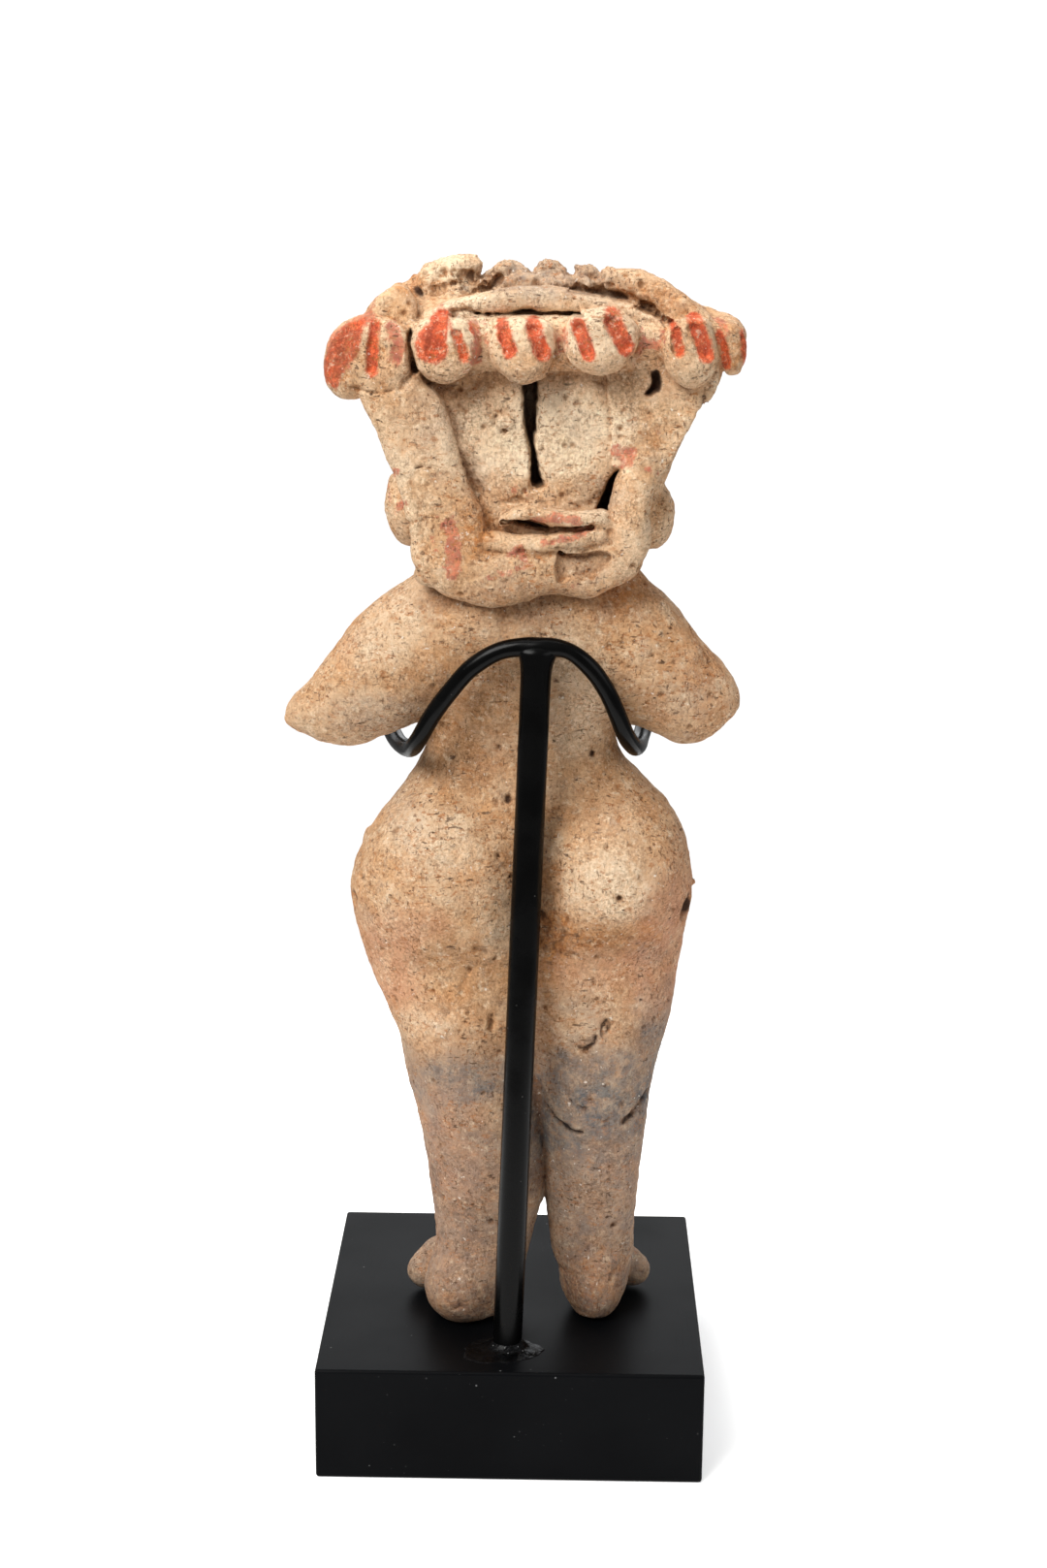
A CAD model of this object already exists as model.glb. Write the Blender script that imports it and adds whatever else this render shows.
# Looks of a fired-clay fertility figure on its black display stand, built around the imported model.
# Every length below is in millimetres in the row frame and is turned into metres when a mesh is made.

import math

import bpy
import numpy as np
from mathutils import Matrix, Vector


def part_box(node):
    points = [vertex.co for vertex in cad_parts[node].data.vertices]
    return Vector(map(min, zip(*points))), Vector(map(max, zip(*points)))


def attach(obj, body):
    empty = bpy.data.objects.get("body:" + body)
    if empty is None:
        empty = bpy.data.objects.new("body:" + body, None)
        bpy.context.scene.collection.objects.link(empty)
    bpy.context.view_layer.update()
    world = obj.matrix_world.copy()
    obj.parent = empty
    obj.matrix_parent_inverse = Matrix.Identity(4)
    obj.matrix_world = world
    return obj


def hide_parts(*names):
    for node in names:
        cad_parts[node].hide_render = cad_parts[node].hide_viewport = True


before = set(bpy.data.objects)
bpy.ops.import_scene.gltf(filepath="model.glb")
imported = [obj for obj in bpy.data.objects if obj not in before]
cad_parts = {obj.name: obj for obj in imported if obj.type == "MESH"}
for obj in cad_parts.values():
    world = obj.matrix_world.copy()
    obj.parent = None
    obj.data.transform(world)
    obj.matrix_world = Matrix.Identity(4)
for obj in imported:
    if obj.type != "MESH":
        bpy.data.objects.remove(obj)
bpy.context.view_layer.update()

scene = bpy.context.scene
MM = 0.001
F = np.float32


# ------------------------------------------------------------------ repeatable noise

def _lattice(seed):
    return np.random.RandomState(seed).uniform(-1, 1, (32, 32, 32)).astype(F)


_LATTICES = {}


def noise(p, size, seed):
    """Smooth noise between about -1 and 1 at points p (n, 3), with features about `size` mm across."""
    if seed not in _LATTICES:
        _LATTICES[seed] = _lattice(seed)
    g = _LATTICES[seed]
    q = p / size + 100.37
    i = np.floor(q).astype(np.int64)
    f = (q - i).astype(F)
    f = f * f * f * (f * (f * 6 - 15) + 10)
    out = 0
    for c in range(8):
        o = [(c >> a) & 1 for a in range(3)]
        w = 1
        for a in range(3):
            w = w * (f[:, a] if o[a] else 1 - f[:, a])
        out = out + w * g[(i[:, 0] + o[0]) & 31, (i[:, 1] + o[1]) & 31, (i[:, 2] + o[2]) & 31]
    return out


def fractal(p, size, seed, octaves=3, fall=0.5):
    out, amp = 0, 1.0
    for k in range(octaves):
        out = out + amp * noise(p, size / 2 ** k, seed + k)
        amp *= fall
    return out


# ------------------------------------------------------------------ forms, as functions that are negative inside

def along(rows, t):
    """Smooth interpolation of the columns after the first; t is an array."""
    R = np.array(rows, float)
    n = len(R)
    t = np.clip(np.asarray(t, float), R[0, 0], R[-1, 0])
    i = np.clip(np.searchsorted(R[:, 0], t, side="right") - 1, 0, n - 2)
    a, b, lo, hi = i, i + 1, np.maximum(i - 1, 0), np.minimum(i + 2, n - 1)
    d = R[b, 0] - R[a, 0]
    u = (t - R[a, 0]) / d
    out = []
    for k in range(1, R.shape[1]):
        p1, p2 = R[a, k], R[b, k]
        m1 = (p2 - R[lo, k]) / (R[b, 0] - R[lo, 0]) * d
        m2 = (R[hi, k] - p1) / (R[hi, 0] - R[a, 0]) * d
        out.append((p1 + u * (m1 + u * (-2 * m1 - m2 + 3 * (p2 - p1) + u * (m1 + m2 - 2 * (p2 - p1))))).astype(F))
    return out


def section(a, lo_a, hi_a, b, lo_b, hi_b, n):
    ha, hb = (hi_a - lo_a) / 2, (hi_b - lo_b) / 2
    qa, qb = np.abs(a - (lo_a + hi_a) / 2) / ha, np.abs(b - (lo_b + hi_b) / 2) / hb
    return ((qa ** n + qb ** n) ** (1.0 / n) - 1) * np.minimum(ha, hb)


class Form:
    """A form: its box (x0, x1, y0, y1, z0, z1) and its function of x, y, z, which broadcast together."""

    def __init__(self, box, at):
        self.box, self.at = box, at


def upright(rows, n):
    R = np.array(rows, float)

    def at(x, y, z):
        l, r, b, f = along(rows, z)
        return np.maximum(section(x, l, r, y, b, f, n), np.maximum(R[0, 0] - z, z - R[-1, 0]))
    return Form((R[:, 1].min(), R[:, 2].max(), R[:, 3].min(), R[:, 4].max(), R[0, 0], R[-1, 0]), at)


def sideways(rows, n):
    R = np.array(rows, float)

    def at(x, y, z):
        b, t, k, f = along(rows, x)
        return np.maximum(section(z, b, t, y, k, f, n), np.maximum(R[0, 0] - x, x - R[-1, 0]))
    return Form((R[0, 0], R[-1, 0], R[:, 3].min(), R[:, 4].max(), R[:, 1].min(), R[:, 2].max()), at)


def lump(cx, cy, cz, rx, ry, rz, n=2.0):
    def at(x, y, z):
        a, b, c = np.abs(x - cx) / rx, np.abs(y - cy) / ry, np.abs(z - cz) / rz
        q = (a ** n + b ** n + c ** n) ** (1.0 / n)
        return (q - 1) * min(rx, ry, rz) * np.where(q < 1, 1.0, 1.15)
    return Form((cx - rx, cx + rx, cy - ry, cy + ry, cz - rz, cz + rz), at)


def strip(points, n=2.0):
    """A strip laid on a face: points (x, y, z, half width, half thickness); thickness runs along Y."""
    P = np.array(points, float)

    def at(x, y, z):
        best = None
        for p, q in zip(P[:-1], P[1:]):
            dx, dz = q[0] - p[0], q[2] - p[2]
            t = np.clip(((x - p[0]) * dx + (z - p[2]) * dz) / (dx * dx + dz * dz), 0, 1)
            mix = lambda k: p[k] + (q[k] - p[k]) * t
            w, h = mix(3), mix(4)
            u = np.hypot(x - mix(0), z - mix(2)) / w
            v = np.abs(y - mix(1)) / h
            d = ((u ** n + v ** n) ** (1.0 / n) - 1) * np.minimum(w, h)
            best = d if best is None else np.minimum(best, d)
        return best
    m = P[:, 3:5].max()
    return Form((P[:, 0].min() - m, P[:, 0].max() + m, P[:, 1].min() - m, P[:, 1].max() + m, P[:, 2].min() - m, P[:, 2].max() + m), at)


def coil(points):
    P = np.array(points, float)

    def at(x, y, z):
        best = None
        for p, q in zip(P[:-1], P[1:]):
            d = q[:3] - p[:3]
            t = np.clip(((x - p[0]) * d[0] + (y - p[1]) * d[1] + (z - p[2]) * d[2]) / (d @ d), 0, 1)
            e = np.sqrt((x - p[0] - d[0] * t) ** 2 + (y - p[1] - d[1] * t) ** 2 + (z - p[2] - d[2] * t) ** 2) - (p[3] + (q[3] - p[3]) * t)
            best = e if best is None else np.minimum(best, e)
        return best
    m = P[:, 3].max()
    return Form((P[:, 0].min() - m, P[:, 0].max() + m, P[:, 1].min() - m, P[:, 1].max() + m, P[:, 2].min() - m, P[:, 2].max() + m), at)


def rounded(points, per=6):
    """A closed smooth curve through the points, as a polygon."""
    P = np.array(points, float)
    n, out = len(P), []
    for i in range(n):
        a, b, c, d = P[i - 1], P[i], P[(i + 1) % n], P[(i + 2) % n]
        for k in range(per):
            t = k / per
            out.append(0.5 * (2 * b + (c - a) * t + (2 * a - 5 * b + 4 * c - d) * t * t + (3 * b - a - 3 * c + d) * t ** 3))
    return np.array(out)


def outline_distance(P, x, z):
    """Signed distance to polygon P in the XZ plane, negative inside."""
    x, z = np.broadcast_arrays(x, z)
    best = np.full(x.shape, 1e9, F)
    inside = np.zeros(x.shape, bool)
    for p, q in zip(P, np.roll(P, -1, 0)):
        e = q - p
        t = np.clip(((x - p[0]) * e[0] + (z - p[1]) * e[1]) / max(e @ e, 1e-9), 0, 1)
        best = np.minimum(best, (x - p[0] - e[0] * t) ** 2 + (z - p[1] - e[1] * t) ** 2)
        if e[1] != 0:
            crosses = ((p[1] > z) != (q[1] > z)) & (x < (z - p[1]) / e[1] * e[0] + p[0])
            inside ^= crosses
    best = np.sqrt(best)
    return np.where(inside, -best, best)


def line_distance(points, x, z):
    """Distance to an open line in the XZ plane, with its width fraction along it."""
    P = np.array(points, float)
    x, z = np.broadcast_arrays(x, z)
    best = np.full(x.shape, 1e9, F)
    for p, q in zip(P[:-1], P[1:]):
        e = q[:2] - p[:2]
        t = np.clip(((x - p[0]) * e[0] + (z - p[1]) * e[1]) / max(e @ e, 1e-9), 0, 1)
        best = np.minimum(best, np.hypot(x - p[0] - e[0] * t, z - p[1] - e[1] * t))
    return best


def pad(outline, back, front, r, lean=(0.0, 0.0), smooth=True):
    """A pad of clay with this outline in the XZ plane, from Y=back to Y=front, its edges rounded by r."""
    P = rounded(outline) if smooth else np.array(outline, float)
    cx, cz = P.mean(0)
    half, mid = (front - back) / 2, (front + back) / 2

    def at(x, y, z):
        d = outline_distance(P, x, z) + r
        e = np.abs(y - mid - lean[0] * (x - cx) - lean[1] * (z - cz)) - half + r
        return np.minimum(np.maximum(d, e), 0) + np.hypot(np.maximum(d, 0), np.maximum(e, 0)) - r
    reach = abs(lean[0]) * np.ptp(P[:, 0]) / 2 + abs(lean[1]) * np.ptp(P[:, 1]) / 2
    return Form((P[:, 0].min(), P[:, 0].max(), back - reach, front + reach, P[:, 1].min(), P[:, 1].max()), at)


class Clay:
    """Forms pressed together on a grid."""

    def __init__(self, X, Y, Z):
        self.x, self.y, self.z = X[None, None, :], Y[None, :, None], Z[:, None, None]
        self.X, self.Y, self.Z = X, Y, Z
        self.v = np.full((len(Z), len(Y), len(X)), 9.0, F)

    def window(self, box, margin):
        s = []
        for line, lo, hi in ((self.Z, box[4], box[5]), (self.Y, box[2], box[3]), (self.X, box[0], box[1])):
            s.append(slice(int(np.searchsorted(line, lo - margin)), int(np.searchsorted(line, hi + margin))))
        return tuple(s)

    def _values(self, form, k):
        s = self.window(form.box, 1.7 * k + 1.2)
        if min(q.stop - q.start for q in s) <= 0:
            return None, None
        return s, form.at(self.x[:, :, s[2]], self.y[:, s[1], :], self.z[s[0], :, :]).astype(F)

    def press(self, form, k):
        s, b = self._values(form, k)
        if s:
            a = self.v[s]
            h = np.maximum(k - np.abs(a - b), 0) / k
            self.v[s] = np.minimum(a, b) - h * h * k * 0.25
        return self

    def cut(self, form, k):
        s, b = self._values(form, k)
        if s:
            a = self.v[s]
            h = np.maximum(k - np.abs(-a - b), 0) / k
            self.v[s] = -(np.minimum(-a, b) - h * h * k * 0.25)
        return self


# ------------------------------------------------------------------ the figure's forms

TRUNK = upright([
    [64, -12.0, 17.5, -9.0, 1.0], [74, -19.3, 24.4, -14.6, 7.0], [82, -24.6, 27.5, -17.0, 9.8], [90, -27.4, 29.2, -18.0, 11.6],
    [98, -28.4, 30.0, -18.4, 12.5], [106, -25.4, 28.8, -17.6, 12.5], [112, -21.6, 25.8, -15.6, 11.0], [117, -17.9, 20.8, -13.4, 9.2],
    [121, -15.9, 17.6, -12.5, 8.4], [127, -15.2, 17.0, -13.2, 8.6], [134, -16.0, 18.0, -14.8, 8.6], [141, -17.0, 19.6, -15.8, 8.0],
    [148, -16.0, 19.6, -15.2, 6.0], [154, -14.5, 18.5, -13.0, 4.0],
], 2.3)
LEG_LEFT = upright([
    [21.5, -12.4, 0.8, -14.4, 0.6], [30, -13.5, 2.2, -14.8, 0.8], [38, -13.8, 4.4, -15.0, 2.4], [42, -14.2, 5.6, -15.3, 4.0],
    [50, -15.4, 5.8, -15.9, 5.0], [62, -18.0, 4.6, -16.8, 6.6], [74, -20.6, 2.8, -17.0, 8.0], [82, -22.0, 2.6, -15.6, 8.0],
    [92, -20.0, 2.0, -12.0, 7.0],
], 2.3)
LEG_RIGHT = upright([
    [21.5, 12.2, 17.4, -12.0, 1.4], [26, 9.6, 20.0, -12.4, 1.5], [30, 7.2, 21.2, -12.8, 1.6], [38, 6.0, 21.7, -13.4, 1.0], [43, 5.5, 22.0, -14.0, 1.6],
    [50, 5.0, 22.7, -15.0, 3.4], [62, 3.3, 23.9, -16.5, 6.2], [74, 2.6, 25.8, -16.9, 8.0], [82, 2.4, 25.6, -15.6, 8.0],
    [92, 2.6, 23.6, -12.0, 7.0],
], 2.3)
BUTTOCKS = [lump(-12.6, -10.8, 100.5, 11.8, 10.8, 12.6), lump(15.8, -11.0, 101.0, 11.6, 11.4, 12.0)]
CLEFT = coil([[2.6, -24.2, 118, 2.6], [2.8, -23.2, 108, 4.8], [2.6, -22.2, 97, 4.8], [2.2, -21.8, 88, 4.2], [1.8, -21.6, 78, 3.8], [2.1, -22.4, 68, 2.9], [2.9, -22.2, 61, 2.6]])
UNDER_FOLD = coil([[7.0, -23.4, 90.6, 2.1], [14.5, -24.0, 88.6, 2.9], [22.0, -22.4, 90.2, 1.8]])
HEELS = [lump(-8.9, -11.2, 26.6, 6.2, 6.6, 6.9), lump(14.4, -8.8, 26.6, 4.7, 6.2, 6.7)]
FEET = [
    coil([[-8.9, -9.6, 25.2, 5.2], [-10.6, 0.0, 25.0, 5.0], [-11.6, 5.6, 23.6, 3.9]]),
    coil([[14.2, -7.0, 25.2, 5.0], [16.4, 1.4, 25.0, 5.0], [17.8, 6.6, 23.6, 3.9]]),
]
TOES = [
    coil([[-13.2, 0.4, 26.4, 3.2], [-15.8, -0.6, 23.6, 3.3]]),
    coil([[19.6, 1.6, 25.2, 3.2], [21.5, 1.4, 23.5, 3.1]]),
]
ARM_LEFT = sideways([
    [-39.4, 126.0, 128.6, -8.0, -2.6], [-38.0, 125.1, 130.4, -9.6, -0.2], [-35.0, 123.8, 133.3, -11.0, 1.8], [-31.0, 122.4, 138.6, -12.4, 3.0],
    [-27.0, 122.3, 144.2, -13.4, 4.0], [-22.0, 124.2, 148.3, -14.4, 4.8], [-17.0, 126.4, 151.4, -15.0, 5.6], [-12.0, 127.4, 153.2, -15.4, 6.4],
    [-4.0, 130.0, 153.6, -15.4, 6.8],
], 2.1)
ARM_RIGHT = sideways([
    [6.0, 130.0, 153.6, -15.4, 6.8], [14.0, 127.6, 153.6, -15.4, 6.4], [19.0, 126.3, 152.6, -15.0, 5.6], [23.0, 124.9, 149.8, -14.4, 4.8],
    [27.0, 123.1, 145.8, -13.6, 4.0], [31.0, 123.5, 141.0, -12.6, 3.0], [34.5, 125.8, 136.8, -11.0, 1.8], [36.6, 128.0, 134.0, -9.4, 0.0],
    [37.3, 129.9, 132.2, -7.8, -2.4],
], 2.1)
BREASTS = [lump(-8.2, 7.6, 134.5, 5.4, 5.0, 6.0), lump(10.6, 7.6, 134.5, 5.4, 5.0, 6.0)]
BELLY = lump(1.4, 6.6, 108, 14, 8.0, 14)
NAVEL = lump(1.4, 15.4, 110.5, 1.9, 2.6, 1.9)

HEAD = upright([
    [148.5, -12.0, 15.5, -12.5, 3.0], [151.5, -15.6, 18.6, -13.2, 3.8], [154.0, -15.0, 20.4, -13.6, 4.4], [156.5, -15.6, 21.4, -13.8, 4.8], [160, -17.2, 22.4, -13.8, 5.0], [167, -18.6, 23.8, -13.8, 5.2],
    [173, -20.8, 26.0, -13.8, 5.4], [178, -24.0, 28.4, -13.8, 5.6], [183, -26.2, 32.2, -13.8, 6.0], [187, -27.0, 33.6, -13.8, 6.4], [191, -27.4, 33.2, -13.6, 6.6],
    [196, -23.6, 28.4, -10.6, 7.2], [200.0, -18.0, 20.5, -3.0, 8.0],
], 3.6)
EARS = [lump(-17.9, -5.2, 163.0, 4.2, 5.8, 7.0), lump(22.2, -4.2, 161.8, 3.5, 5.2, 5.6)]

# strips and pads pressed on the back of the head; outlines in X and Z
STRIP_LEFT = pad([(-27.0, 188.0), (-17.1, 186.4), (-15.0, 184.1), (-12.8, 182.0), (-11.5, 179.6), (-10.5, 176.1), (-10.0, 173.4), (-9.0, 170.5),
                  (-8.0, 167.8), (-6.8, 165.4), (-5.6, 162.0), (-5.0, 157.0), (-8.0, 152.5), (-15.5, 153.5), (-17.2, 159.0), (-18.6, 165.0),
                  (-20.2, 170.0), (-22.6, 175.5), (-25.2, 181.0)], -17.6, -9.0, 2.2)
CHIN = [
    strip([[-12.6, -13.8, 157.0, 4.6, 3.4], [-9.6, -14.4, 153.9, 4.9, 3.6], [-4.0, -15.0, 152.6, 4.8, 3.8], [0.6, -15.2, 153.4, 4.6, 3.8]], 2.6),
    strip([[0.6, -15.2, 153.6, 4.2, 3.8], [6.0, -15.2, 154.2, 4.2, 3.8], [11.0, -14.8, 153.8, 4.4, 3.6], [16.0, -14.2, 156.2, 4.3, 3.4], [17.9, -13.8, 160.0, 3.6, 3.2]], 2.6),
    lump(-14.0, -13.4, 152.8, 2.9, 3.2, 1.9),
]
COIL_RIGHT = strip([[18.2, -13.8, 159.0, 3.4, 4.2], [18.0, -14.0, 164.0, 3.3, 4.2], [18.7, -13.8, 167.6, 3.1, 3.8], [20.4, -13.2, 171.0, 3.0, 3.0], [22.6, -12.4, 175.0, 2.8, 2.2]], 2.6)
SLAB_RIGHT = pad([(13.4, 189.0), (14.4, 180.0), (14.9, 175.2), (15.0, 170.8), (16.8, 170.3), (19.5, 169.6), (23.4, 170.0), (26.0, 174.5), (28.6, 179.0), (31.6, 183.4), (31.6, 190.0)],
                 -14.9, -8.0, 0.5, lean=(-0.07, 0.0), smooth=False)
LIP_UPPER = strip([[-2.2, -15.2, 162.0, 1.0, 1.6], [-0.4, -15.9, 163.2, 1.2, 1.9], [2.2, -16.4, 163.6, 1.25, 2.1], [5.4, -16.7, 162.9, 1.45, 2.3], [9.6, -16.5, 162.5, 1.45, 2.2], [13.4, -15.9, 162.7, 1.5, 2.1],
                   [15.4, -15.0, 161.6, 1.4, 1.9]], 2.2)
LIP_LOWER = strip([[-4.6, -15.2, 158.6, 1.8, 2.3], [-0.4, -16.0, 158.2, 1.7, 2.4], [4.6, -16.7, 158.6, 1.6, 2.4], [9.0, -16.6, 159.4, 1.6, 2.3], [13.0, -15.9, 160.0, 1.6, 2.1]], 2.2)

BAND_BACK = strip([[-19.0, -12.0, 190.2, 3.4, 3.6], [-10.0, -12.6, 190.4, 4.2, 3.9], [-4.0, -12.8, 190.4, 4.4, 4.0], [2.0, -12.8, 190.4, 4.4, 4.0], [8.0, -12.8, 190.2, 4.4, 4.1],
                   [14.0, -12.7, 190.2, 4.4, 4.1], [21.0, -12.4, 190.1, 4.2, 4.0], [27.0, -11.8, 190.6, 4.0, 3.9], [30.5, -11.0, 190.4, 3.9, 3.8]], 2.3)
UNDER_BAND = coil([[-12.0, -14.6, 183.2, 1.9], [-4.0, -15.0, 184.6, 2.1], [4.0, -15.0, 184.8, 2.1], [14.0, -15.0, 184.8, 2.1], [22.0, -14.8, 184.4, 1.8]])
BAND_RIGHT = coil([[30.0, -11.2, 190.6, 3.8], [33.0, -7.0, 190.6, 3.6], [33.4, 0.0, 190.8, 3.6], [30.0, 6.0, 191.2, 3.8]])
BAND_FRONT = strip([[30.0, 6.0, 191.2, 4.0, 3.8], [14.0, 8.6, 192.2, 4.2, 4.0], [0.0, 9.0, 192.4, 4.2, 4.0], [-14.0, 8.4, 190.8, 4.2, 4.0], [-25.0, 5.2, 187.6, 4.0, 3.8]])
BAND_LEFT = coil([[-25.0, 5.2, 187.6, 3.8], [-27.4, -2.0, 187.4, 3.8], [-26.4, -9.0, 187.6, 4.0]])
ARCH = strip([[-14.6, -11.6, 194.0, 1.2, 2.0], [-10.4, -12.2, 195.2, 1.7, 2.6], [-5.4, -12.4, 196.5, 1.9, 2.8], [0.0, -12.2, 197.1, 2.0, 2.8], [5.2, -12.2, 197.2, 2.0, 2.8],
              [10.4, -12.2, 196.8, 1.9, 2.8], [15.6, -12.2, 195.9, 1.7, 2.6], [20.4, -12.2, 194.6, 1.5, 2.4], [24.6, -12.0, 193.2, 1.2, 2.0]], 2.6)
SHELF = pad([(-21, 192.0), (-18.5, 196.2), (-12, 197.0), (-5.0, 197.8), (2.0, 198.6), (10.0, 198.4), (18, 197.4), (24, 195.4), (31, 191.6), (20, 188), (-10, 188)], -8.6, 7.0, 1.2)

CREST = [
    (pad([(-17.0, 198.2), (-16.6, 200.9), (-14.4, 202.6), (-10.6, 203.5), (-7.6, 203.5), (-6.4, 202.0), (-7.2, 199.6), (-9.0, 197.6), (-12.4, 196.4), (-15.9, 196.4)], -6.9, 5.0, 2.2, (0.0, 0.16)), 0.3),
    (pad([(-9.0, 197.6), (-6.4, 200.4), (-4.9, 201.6), (-3.2, 202.5), (-2.2, 202.7), (-1.0, 202.0), (1.4, 200.8), (1.6, 197.2)], -5.6, 5.2, 1.0, (0.1, 0.1)), 0.4),
    (pad([(-4.4, 199.0), (-3.6, 201.4), (-1.8, 202.6), (-0.2, 202.2), (1.0, 200.2), (0.4, 197.6)], -2.4, 5.6, 1.4), 0.4),
    (pad([(1.4, 199.4), (2.4, 201.9), (3.8, 202.8), (5.8, 202.5), (7.4, 201.2), (7.9, 199.0), (6.4, 197.0), (1.6, 197.0)], -5.2, 5.6, 1.3, (-0.08, 0.1)), 0.3),
    (pad([(8.4, 199.2), (8.7, 201.7), (9.6, 202.2), (11.2, 202.1), (13.0, 200.9), (14.6, 199.0), (13.6, 197.0), (8.0, 197.0)], -5.0, 5.6, 1.1, (0.1, 0.0)), 0.3),
    (lump(10.6, -5.6, 199.0, 1.7, 1.9, 1.4, 2.4), 0.3), (lump(5.0, -5.8, 199.3, 2.0, 1.6, 1.2, 2.4), 0.3), (lump(-4.6, -6.0, 199.0, 2.2, 1.6, 1.3, 2.4), 0.3),
    (lump(-20.0, 1.0, 194.6, 4.6, 6.0, 3.4), 1.2), (lump(25.0, 0.8, 194.0, 5.2, 6.0, 2.8), 1.2),
    (lump(16.8, 1.6, 198.4, 4.4, 5.0, 3.2), 1.2),
]
DIAGONAL = strip([[14.6, -4.8, 200.2, 1.9, 3.4], [18.8, -6.6, 199.7, 2.2, 3.8], [22.4, -8.6, 197.8, 2.4, 4.0], [25.6, -10.4, 195.6, 2.4, 4.0], [28.8, -11.0, 193.3, 2.3, 3.6]], 3.2)
WALL_BACK = pad([(-12, 197.0), (-8, 199.4), (-2, 200.6), (6, 200.7), (13, 200.0), (18, 198.4), (20, 195.0), (12, 195.0), (-6, 195.2)], -6.2, 3.0, 0.9)
LOBE = pad([(-21.5, 198.3), (-19.4, 199.1), (-17.3, 197.9), (-16.6, 194.6), (-17.6, 191.8), (-21.0, 191.0), (-23.9, 193.6), (-23.9, 195.6), (-23.0, 197.2)], -13.8, -6.0, 1.3, (0.05, 0.2))

PELLET_SHAPES = [
    ([(-23.6, 194.5), (-19.4, 193.3), (-17.3, 190.4), (-16.9, 186.2), (-19.0, 183.5), (-23.6, 182.2), (-27.8, 181.2), (-30.4, 182.9), (-31.5, 186.3), (-30.4, 190.6), (-27.4, 193.7)],
        -17.4, -8.0, 3.2, (-0.26, 0.05)),
    ([(-12.4, 195.0), (-15.4, 193.9), (-17.4, 191.4), (-17.4, 188.6), (-15.9, 185.9), (-12.4, 183.9), (-9.4, 184.8), (-7.0, 187.4), (-6.5, 191.0), (-8.4, 194.1)], -20.4, -12.0, 3.2),
    ([(-3.2, 193.8), (-4.7, 190.4), (-4.1, 187.2), (-1.6, 184.7), (1.4, 184.2), (4.3, 185.8), (5.6, 190.0), (4.8, 193.4), (0.8, 194.6)], -21.0, -12.0, 3.3),
    ([(8.2, 194.5), (7.0, 190.6), (8.6, 187.4), (12.6, 185.6), (16.8, 187.1), (18.8, 190.8), (18.2, 194.1), (14.2, 196.0), (10.6, 195.7)], -21.0, -12.0, 3.3),
    ([(23.8, 193.9), (22.5, 190.2), (23.5, 186.4), (26.2, 184.0), (29.0, 184.2), (31.0, 186.8), (31.2, 190.4), (30.0, 194.1), (27.0, 195.1)], -19.8, -10.0, 3.2, (0.1, 0.0)),
    ([(32.6, 193.6), (31.4, 191.0), (32.2, 187.2), (33.6, 185.5), (35.4, 185.9), (36.5, 188.4), (36.2, 191.2), (34.6, 193.4)], -14.2, -4.0, 2.2, (0.35, 0.0)),
]
PELLETS = [pad(*row) for row in PELLET_SHAPES]
FRONT_PELLETS = [(1.4 + 12.0 * k, 10.4 - 0.8 * k * k, 191.2 + 0.7 * k - 0.7 * k * k) for k in (-2, -1, 0, 1, 2)]

FACE_Y, FACE_MID, EYE_Z, EYE_OFF = 5.6, 1.6, 175.5, 9.4
FACE = [
    coil([[FACE_MID, FACE_Y - 1.0, 181.0, 2.2], [FACE_MID, FACE_Y + 1.0, 174.0, 2.3], [FACE_MID, FACE_Y + 2.2, 168.4, 3.0]]),
    lump(FACE_MID - EYE_OFF, FACE_Y - 0.2, EYE_Z, 5.6, 2.8, 3.0),
    lump(FACE_MID + EYE_OFF, FACE_Y - 0.2, EYE_Z, 5.6, 2.8, 3.0),
    lump(FACE_MID, FACE_Y - 0.4, 161.2, 5.4, 2.6, 1.7),
    lump(FACE_MID, FACE_Y - 0.6, 157.8, 4.8, 2.6, 1.7),
    lump(FACE_MID, 3.2, 152.6, 9.0, 3.6, 4.4),
]
EYE_SLITS = [coil([[FACE_MID + s * (EYE_OFF - 4.0), FACE_Y + 2.8, EYE_Z, 0.8], [FACE_MID + s * (EYE_OFF + 4.0), FACE_Y + 2.8, EYE_Z, 0.8]]) for s in (-1, 1)]

# ------------------------------------------------------------------ relief worked into the back and front, in X and Z
# gouges: (points, half width, depth); a negative depth is a ridge

GROOVES = [
    # grooves pressed in the pellets
    ([(-26.6, 192.6), (-28.4, 189.0), (-28.2, 185.2)], 1.5, 0.6), ([(-22.8, 193.0), (-23.2, 190.5), (-23.4, 186.4)], 0.95, 0.9),
    ([(-20.2, 192.3), (-19.2, 190.4), (-19.4, 188.2)], 1.0, 0.55),
    ([(-12.6, 192.9), (-12.9, 191.5), (-13.6, 189.4)], 1.5, 0.7), ([(-9.9, 191.8), (-9.1, 189.9), (-8.6, 188.6)], 0.9, 0.9),
    ([(-2.6, 192.4), (-2.2, 191.2), (-1.5, 189.8)], 1.3, 1.2), ([(2.2, 192.6), (3.0, 191.2), (3.8, 189.5)], 1.4, 1.25),
    ([(9.2, 192.9), (10.1, 191.2), (10.9, 189.5)], 1.3, 1.2), ([(14.6, 194.0), (15.7, 192.2), (16.7, 190.6)], 1.5, 1.25),
    ([(24.6, 192.6), (24.9, 191.2), (25.2, 189.8)], 0.85, 0.9), ([(27.8, 193.0), (28.7, 191.2), (29.4, 189.4)], 1.4, 1.2),
    ([(32.0, 191.2), (32.7, 189.6), (33.1, 187.6)], 0.7, 0.6),
]
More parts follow.
